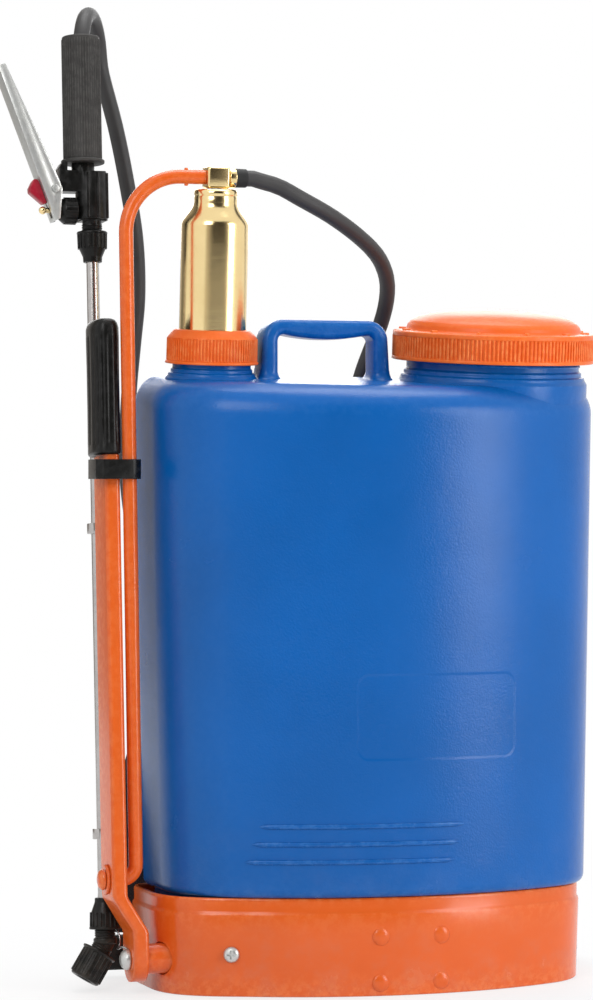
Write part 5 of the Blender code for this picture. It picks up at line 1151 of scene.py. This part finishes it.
# Filler lid and pump
def make_lid():
    """The filler's lid with grip ribs and webs, and the gasket and strainer below it."""
    profile = [(0, 56), (22, 55.6), (40, 54.2), (52, 52.2), (60, 49.6), (65.5, 46.4), (68, 43.6), (69, 40.4),
               (70.2, 39.2), (76.4, 39.2), (79.2, 38.4), (79.5, 35), (78.2, 34.2), (78.2, 19.4), (79.7, 18.6),
               (79.9, 16.4), (79.2, 16), (70.3, 16), (70.3, 33.6), (64, 33.8), (48, 48), (0, 52)]
    piece("filler_lid_turned", turned(soften(profile, 0.9), 144), ORANGE, "lid", "filler_lid", place=FILLER)
    ribs("filler_lid_ribs", ORANGE, "lid", FILLER, 150, (78.5, 18.8), (78.5, 34.8), 2.2)
    ribs("filler_lid_webs", ORANGE, "lid", FILLER, 12, (69.4, 39.3), (75.8, 39.3), 2.8, 10)
    dressed("lid_gasket", SEAL, 0.4)
    dressed("strainer_basket", PALE, 0.4)


def make_pump():
    """The pump's cap, its chamber and what is inside the tank."""
    cap = [(26.5, 37), (28.8, 37), (29.8, 36.4), (33.8, 32), (34.8, 30.4), (34.2, 29.8), (34.2, 13.4),
           (35.6, 12.8), (36.3, 11.6), (36.0, 10.6), (31.7, 10.6), (31.7, 26.8), (26.5, 26.8)]
    piece("pump_cap_turned", turned(soften(cap, 0.8), 128), ORANGE, "cap", "pump_cap", place=PUMP)
    ribs("pump_cap_ribs", ORANGE, "cap", PUMP, 84, (34.4, 13.2), (34.3, 30.2), 1.7)
    make_chamber()
    dressed("piston", BRASS, 0.4)
    dressed("piston_cup", SEAL, 0.4)
    for node in ("pump_cylinder", "foot_valve", "intake_strainer"):
        dressed(node, PALE, 0.3)


CHAMBER_RADIUS, CHAMBER_NECK, CHAMBER_WALL = 26, 16.8, 1.2
NECK_FOOT, NECK_FALL, NECK_STEPS = 134.5, 17.5, 14
OUTLET = PUMP @ Matrix.Translation((0, 0, OUTLET_HEIGHT)) @ ALONG_X


def make_chamber():
    """The brass air chamber with its outlet, the barb on it and the cuff over the hose's end."""
    chamber = [(0, 145), (14.4, 145), (15.8, 144.5), (CHAMBER_NECK, 143.2), (CHAMBER_NECK, 140.6),
               (16.4, 140), (16.4, 139.2), (CHAMBER_NECK, 138.6), (CHAMBER_NECK, 135)]
    for i in range(NECK_STEPS + 1):
        share = i / NECK_STEPS
        flare = (CHAMBER_RADIUS - CHAMBER_NECK) * share * share * (3 - 2 * share)
        chamber.append((CHAMBER_NECK + flare, NECK_FOOT - NECK_FALL * share))
    inside = CHAMBER_RADIUS - CHAMBER_WALL
    chamber += [(CHAMBER_RADIUS, 100), (CHAMBER_RADIUS, -95), (inside, -95), (inside, 110), (0, 132)]
    piece("pressure_chamber_turned", turned(chamber, 112), BRASS, "pump_chamber", "pressure_chamber",
          place=PUMP)
    dressed("outlet_block", BRASS, 1.2, 3)
    barb = [(3, 21), (5.2, 21), (6.0, 20), (5.3, 18.4), (6.1, 17.6), (5.4, 16), (5.6, 15.4), (7.5, 14.8),
            (7.5, 10), (6.8, 9.3), (3, 9.3)]
    piece("hose_barb", turned(soften(barb, 0.4), 40), BRASS, "pump_chamber", "hose_fitting", place=OUTLET)
    cuff = [(5.9, 24), (6.9, 24), (7.2, 23.2), (7.3, 13.2), (7, 12.4), (5.9, 12.4)]
    piece("hose_cuff", turned(soften(cuff, 0.5), 40), SEAL, "pump_chamber", place=OUTLET)


# Lever and link rod
def lever_ring(x, z, half, deep):
    """A channel section, open to the back, with rounded bends."""
    sheet, bend = 2.2, min(3.4, deep * 0.5)
    outer = [(-half, deep)] + arc(-half + bend, -deep + bend, bend, pi, 1.5 * pi, 5)
    outer += arc(half - bend, -deep + bend, bend, -pi / 2, 0, 5) + [(half, deep)]
    inner_bend = max(0.3, bend - sheet)
    inside = half - sheet
    front = -deep + min(sheet, deep * 0.8)
    inner = [(inside, deep)] + arc(inside - inner_bend, front + inner_bend, inner_bend, 0, -pi / 2, 3)
    inner += arc(-inside + inner_bend, front + inner_bend, inner_bend, -pi / 2, -pi, 3) + [(-inside, deep)]
    return [(x + px, py, z) for px, py in outer + inner]


LEVER_HALF, LEVER_DEPTH, LEVER_TAIL = 6, 17, 17
LEVER_FOOT_X, LEVER_X, JOG_START, JOG_END = -196, -212, 20, 49
TAIL_ARC, TAIL_STEPS, TAIL_THINNEST = pi / 2 * 0.94, 8, 3.0
JOG_STEPS, JOG_EASE = 12, 0.04
GRIP_TANG_DEPTH = 13


def make_lever():
    """A pressed channel: a round tail at the pivot, a jog outwards, a long straight arm and a tang."""
    half, deep = LEVER_HALF, LEVER_DEPTH
    rings = []
    for i in range(TAIL_STEPS + 1):
        angle = -TAIL_ARC * (1 - i / TAIL_STEPS)
        depth = max(TAIL_THINNEST, deep * cos(angle))
        rings.append(lever_ring(LEVER_FOOT_X, LEVER_TAIL * sin(angle), half, depth))
    for i in range(JOG_STEPS + 1):
        share = i / JOG_STEPS
        eased = min(1.0, max(0.0, (share - JOG_EASE) / (1 - 2 * JOG_EASE)))
        x = LEVER_FOOT_X + (LEVER_X - LEVER_FOOT_X) * eased
        rings.append(lever_ring(x, JOG_START + (JOG_END - JOG_START) * share, half, deep))
    rings += [lever_ring(LEVER_X, z, half, deep) for z in (60, 120, 200, 280, 340, 383.6)]
    rings += [lever_ring(LEVER_X, z, half, GRIP_TANG_DEPTH) for z in (383.7, 484)]
    piece("lever_channel", lofted(rings), ENAMEL, "lever", "pump_lever", place=LEVER, crease=30)


GRIP_MIDDLE_X, GRIP_HALF_WIDTH, GRIP_HALF_DEPTH, GRIP_POINTS = -214, 11, 20.5, 96
FLUTES, FLUTE_DEPTH, GRIP_SQUARENESS = 16, 0.8, 0.75

# Height, inset and share of the flutes' depth at each section of the grip
GRIP_SECTIONS = (
    (384, 1.2, 0), (384.6, 0.4, 0), (386, 0, 0), (391, 0, 0), (393, 0, 1), (420, 0.2, 1), (450, 0.2, 1),
    (474, 0, 1), (476, 0, 0), (481.5, 0, 0), (484.5, 0.7, 0), (486.8, 2, 0), (488, 4.2, 0),
)


def squared(value):
    """A cosine or sine pushed outwards, which squares a circle's corners."""
    return abs(value) ** GRIP_SQUARENESS * (1 if value >= 0 else -1)


def make_lever_grip():
    """A moulded sleeve with lengthwise flutes and a plain band at each end."""
    rings = []
    for z, inset, flute in GRIP_SECTIONS:
        ring = []
        for i in range(GRIP_POINTS):
            angle = 2 * pi * i / GRIP_POINTS
            groove = FLUTE_DEPTH * flute * max(0.0, cos(angle * FLUTES)) ** 2
            x = (GRIP_HALF_WIDTH - inset - groove) * squared(cos(angle))
            y = (GRIP_HALF_DEPTH - inset - groove) * squared(sin(angle))
            ring.append((GRIP_MIDDLE_X + x, y, z))
        rings.append(ring)
    piece("lever_grip_sleeve", lofted(rings), BLACK, "lever", "lever_grip", place=LEVER, crease=50)


ROD_RADIUS, ROD_ARC, ROD_ELBOW = 5.5, 44, 11
ROD_X, ROD_DRIFT, ROD_TAIL_X, ROD_PIN_X = -195.5, 6, -224.6, -153
ROD_FOOT = LEVER @ Vector((ROD_X, 0, 61))
ROD_HEAD = PUMP @ Vector((-9.3, 0, OUTLET_HEIGHT))
ELBOW_STEPS, ROD_STEPS, ROD_ARC_STEPS, ROD_STUB = 8, 14, 18, 6


def rod_centre(z):
    """The straight stretch's middle at height z, which drifts outwards as it rises."""
    share = (z - ROD_FOOT.z) / (ROD_HEAD.z - ROD_FOOT.z)
    return Vector((ROD_X - ROD_DRIFT * share, ROD_FOOT.y + (ROD_HEAD.y - ROD_FOOT.y) * share, z))


def make_rod():
    """A round bar bent over at both ends, riveted through the lever and pinned into the outlet block."""
    path = [Vector((ROD_TAIL_X, ROD_FOOT.y, ROD_FOOT.z))]
    for i in range(ELBOW_STEPS + 1):
        angle = pi / 2 * i / ELBOW_STEPS
        path.append(ROD_FOOT + Vector((ROD_ELBOW * (sin(angle) - 1), 0, ROD_ELBOW * (1 - cos(angle)))))
    rise = ROD_HEAD.z - ROD_FOOT.z
    path += [rod_centre(ROD_FOOT.z + rise * i / ROD_STEPS) for i in range(2, ROD_STEPS - 1)]
    bend = rod_centre(ROD_HEAD.z - ROD_ARC)
    for i in range(ROD_ARC_STEPS + 1):
        angle = pi / 2 * i / ROD_ARC_STEPS
        x, z = bend.x + ROD_ARC * (1 - cos(angle)), bend.z + ROD_ARC * sin(angle)
        path.append(Vector((x, rod_centre(z).y, z)))
    path += [ROD_HEAD - Vector((ROD_STUB, 0, 0)), ROD_HEAD]
    rivet = [(0, -225.6), (3.4, -225.4), (6.4, -224.4), (7.8, -222.6), (8, -221.2), (7.6, -220.7),
             (0, -220.7)]
    rivet = moved(turned(rivet, 32), Matrix.Translation((0, ROD_FOOT.y, ROD_FOOT.z)) @ ALONG_X)
    bar = merged(swept(path, circle(ROD_RADIUS, 28)), rivet)
    piece("link_rod_bar", bar, ENAMEL, "rod", "link_rod", crease=45)
    pin = [(0, 7.0), (1.1, 6.9), (1.5, 6.3), (1.5, -6.3), (1.1, -6.9), (0, -7.0)]
    pin_place = Matrix.Translation((ROD_PIN_X, ROD_HEAD.y + 0.2, ROD_HEAD.z))
    piece("link_rod_pin", turned(pin, 20), ENAMEL, "rod", place=pin_place)
    dressed("crank_washer", ENAMEL, 0.5)
    dressed("storage_clip", BLACK, 0.9, 3)


# Lance, nozzle and trigger valve
NUT_ROUND = 0.5
SMALL_THREAD_RADIUS, SMALL_THREAD_TURNS, SMALL_THREAD_RIDGE = 7.4, 3, 1.4
ELBOW_COLLAR = LANCE @ Matrix.Translation((0, 0, 33.4))
VALVE_RIBS, VALVE_RIB_ENDS = ((-5.4, -11.4), (2.2, -12.4), (11.0, -6.6)), (595.2, 630.4)


def ribbed_nut(node, profile, steps, body, place, *rib_sizes):
    """A black nut or cap in place of a CAD node, with grip ribs round it."""
    piece(f"{node}_turned", turned(soften(profile, NUT_ROUND), steps), BLACK, body, node, place=place)
    ribs(f"{node}_ribs", BLACK, body, place, *rib_sizes)


def small_thread(name, place, foot, height):
    thread(name, BLACK, "lever", place, SMALL_THREAD_RADIUS, foot, height, SMALL_THREAD_TURNS,
           SMALL_THREAD_RIDGE)


def make_lance():
    """The lance's tube with a nut at each end."""
    tube = [(3.9, 588), (4.9, 588), (4.9, 58), (3.9, 58)]
    piece("lance_tube_drawn", turned(tube, 40), STEEL, "lever", "lance_tube", place=LANCE)
    upper = [(7.9, 585), (11.6, 585), (12, 584.2), (12, 583.4), (10.9, 582.6), (10.6, 572.4), (10.2, 571.4),
             (7.5, 565.2), (7.3, 561.4), (7, 561), (5.2, 561), (5.2, 576), (7.9, 576)]
    ribbed_nut("lance_nut", upper, 64, "lever", LANCE, 18, (10.6, 571.6), (10.9, 583), 1.7)
    small_thread("valve_neck_thread", LANCE, 585.6, 5.4)
    lower = [(7.7, 46), (11.8, 46), (12.1, 46.8), (11.9, 47.8), (10.9, 48.4), (10.7, 58.4), (10.2, 59.4),
             (7.6, 66.6), (7.4, 69.6), (7, 70), (5.2, 70), (5.2, 55), (7.7, 55)]
    ribbed_nut("nozzle_nut", lower, 64, "lever", LANCE, 18, (10.9, 48), (10.6, 59), 1.7)


def make_nozzle():
    """The elbow below the lance, the nozzle's ribbed cap and the small wire hook beside them."""
    dressed("nozzle_elbow", BLACK, 0.5)
    small_thread("elbow_upper_thread", LANCE, 40.5, 5)
    small_thread("elbow_lower_thread", NOZZLE, 3.6, 4.6)
    collar = [(0, 6), (8.4, 6), (9, 5.2), (9, 2), (8.4, 1.2), (0, 1.2)]
    piece("elbow_collar", turned(soften(collar, NUT_ROUND), 40), BLACK, "lever", place=ELBOW_COLLAR)
    cap = [(0, 29.6), (2.4, 29.6), (5.6, 30.4), (7.4, 32.3), (10.6, 32.5), (11.6, 31.8), (12.0, 30.4),
           (11.9, 11.2), (12.8, 10.6), (13.6, 9.8), (13.6, 8.8), (13.2, 8.5), (7.7, 8.5), (7.7, 19.3),
           (0, 19.3)]
    ribbed_nut("nozzle_cap", cap, 72, "nozzle", NOZZLE, 20, (11.8, 11), (11.9, 30.4), 1.8)
    hook = smooth_route([(-206, 17.5, 47), (-203.2, 15, 43), (-202.8, 12, 38), (-204.6, 8, 33.5),
                         (-206.5, 3, 32.6), (-205.6, -3, 34.6), (-203.4, -8, 34.0), (-202.4, -12, 32.0)], 2)
    piece("nozzle_wire_hook", swept(hook, circle(0.9, 10)), STEEL, "lever", crease=60)


def make_valve():
    """The trigger valve's body, gland, ribbed hand grip, trigger and lock, and the lance's clips."""
    dressed("valve_body", BLACK, 0.7)
    bars = []
    for x, y in VALVE_RIBS:
        ring = round_rectangle((x - 1.0, y - 0.9), (x + 1.0, y + 1.6), 0.5, 2)
        bars.append(lofted([[(px, py, z) for px, py in ring] for z in VALVE_RIB_ENDS]))
    piece("valve_body_ribs", merged(*bars), BLACK, "lever", place=LANCE)
    gland = [(2.4, -12.7), (9.9, -12.7), (10.2, -13.2), (10.2, -22.0), (9.7, -23.2), (7.4, -25.9),
             (6.6, -26.1), (2.4, -26.1)]
    ribbed_nut("gland_nut", gland, 56, "lever", STEM, 18, (10.0, -13.2), (9.9, -22.4), 1.5)
    grip = [(14.0, 738), (14.7, 737.3), (14.7, 641.6), (15.2, 641.2), (16.6, 640.9), (17, 640.2), (17, 638.8),
            (16.4, 638.2), (4, 638), (4, 714), (7.3, 714), (11.6, 732), (12.4, 738)]
    piece("hand_grip_turned", turned(soften(grip, 0.6), 96), GREY, "lever", "valve_grip", place=HAND_GRIP)
    ribs("hand_grip_ribs", GREY, "lever", HAND_GRIP, 44, (14.5, 642), (14.5, 735.6), 1.35)
    dressed("stem_seal", SEAL, 0.2)
    dressed("trigger_pin", ZINC, 0.3)
    dressed("trigger", ZINC, 0.5)
    dressed("trigger_lock", RED, 0.8, 3)
    dressed("valve_stem", BRASS, 0.15)
    for node in ("lance_clip_1", "lance_clip_2"):
        dressed(node, STEEL, 0.4)


# Harness
STRAP_WIDTH, STRAP_THICKNESS, STRAP_OFF_TANK = 38, 2.4, 10
STRAP_ROUTE = ((46, 446), (60, 408), (88, 350), (118, 280), (146, 205), (168, 130), (179, 74), (182, 34))

# Places across a strap as shares of its half width, and its thickness at each as a share
STRAP_SHARES = (-1, -0.97, -0.9, -0.5, 0, 0.5, 0.9, 0.97, 1)
STRAP_DEPTHS = (0.25, 0.7, 0.95, 1, 1, 1, 0.95, 0.7, 0.25)
SEAM_SHARES = (-0.8, -0.27, 0.27, 0.8)
STITCH_SIZES, STITCH_PROUD = {"Pitch": 3, "Length": 2.1, "Thread": 0.6}, 0.1


def strap_route(side):
    """A strap's middle line, from the anchor below the handle down to its hook, along the tank's back."""
    points = smooth_route([(side * x, 0, z) for x, z in STRAP_ROUTE], 6)
    for point in points:
        point.y = back_y(point.x, point.z) + STRAP_OFF_TANK
    return points


def strap_across(points, i):
    """The direction across a strap at its point i, in the plane of the tank's back."""
    along = heading(points, i)
    return Vector((along.z, 0, -along.x)).normalized()


def strap_rings(points):
    """The webbing's sections, each over its outer side and back along its inner side."""
    rings = []
    for i, point in enumerate(points):
        across = strap_across(points, i) * STRAP_WIDTH / 2
        upper, lower = [], []
        for share, depth in zip(STRAP_SHARES, STRAP_DEPTHS):
            proud = Vector((0, STRAP_THICKNESS / 2 * depth, 0))
            upper.append(point + across * share + proud)
            lower.append(point + across * share - proud)
        rings.append(upper + lower[::-1])
    return rings


def strap_corners(walked):
    """UV corners of the webbing, across it and along it in metres, and of its two flat ends."""
    columns = [share * STRAP_WIDTH / 2 * MM for share in STRAP_SHARES + STRAP_SHARES[::-1]]
    pairs = list(zip(columns, columns[1:] + columns[:1]))
    corners = []
    for low, high in zip(walked, walked[1:]):
        corners += [[(u0, low), (u1, low), (u1, high), (u0, high)] for u0, u1 in pairs]
    return corners + [[(u, end) for u in columns] for end in (0.0, walked[-1])]


def sewn_together(name, objects):
    """One object from several, which are removed."""
    form = bmesh.new()
    for obj in objects:
        form.from_mesh(obj.data)
        bpy.data.objects.remove(obj)
    mesh = bpy.data.meshes.new(name)
    form.to_mesh(mesh)
    form.free()
    tidy_mesh(mesh, 50)
    return new_object(name, mesh)


def strap_stitches(name, points):
    """Rows of stitches that sew down both ends of a strap."""
    proud = Vector((0, STRAP_THICKNESS / 2 + STITCH_PROUD, 0))
    count = len(points)
    sewing = []
    for sewn in (range(2, 8), range(count - 8, count - 2)):
        for share in SEAM_SHARES:
            line = [points[i] + strap_across(points, i) * STRAP_WIDTH / 2 * share + proud for i in sewn]
            sewing.append(grown(f"strap_{name}_seam", STITCHES, WEBBING, STITCH_SIZES, line=line))
    stitches = sewn_together(f"strap_{name}_stitches", sewing)
    attach(stitches, SEAL, "frame")
    return stitches


def make_strap(name, side):
    """One webbing strap, thicker in the middle than at its woven edges, with its ends sewn down."""
    points = strap_route(side)
    walked = lengths_along(points)
    strap = bare(f"strap_{name}_webbing", lofted(strap_rings(points)), crease=60,
                 corners=strap_corners(walked), uv_name="strap")
    attach(strap, WEBBING, "frame", f"shoulder_strap_{name}")
    stitches = strap_stitches(name, points)


def make_harness():
    dressed("strap_anchor", BLACK, 0.8)
    for name, side in (("left", -1), ("right", 1)):
        make_strap(name, side)
        dressed(f"strap_hook_{name}", BLACK, 1.4, 3)


make_hose()
make_tank()
make_handle()
make_stripes()
make_base()
make_lid()
make_pump()
make_lever()
make_lever_grip()
make_rod()
make_lance()
make_nozzle()
make_valve()
make_harness()
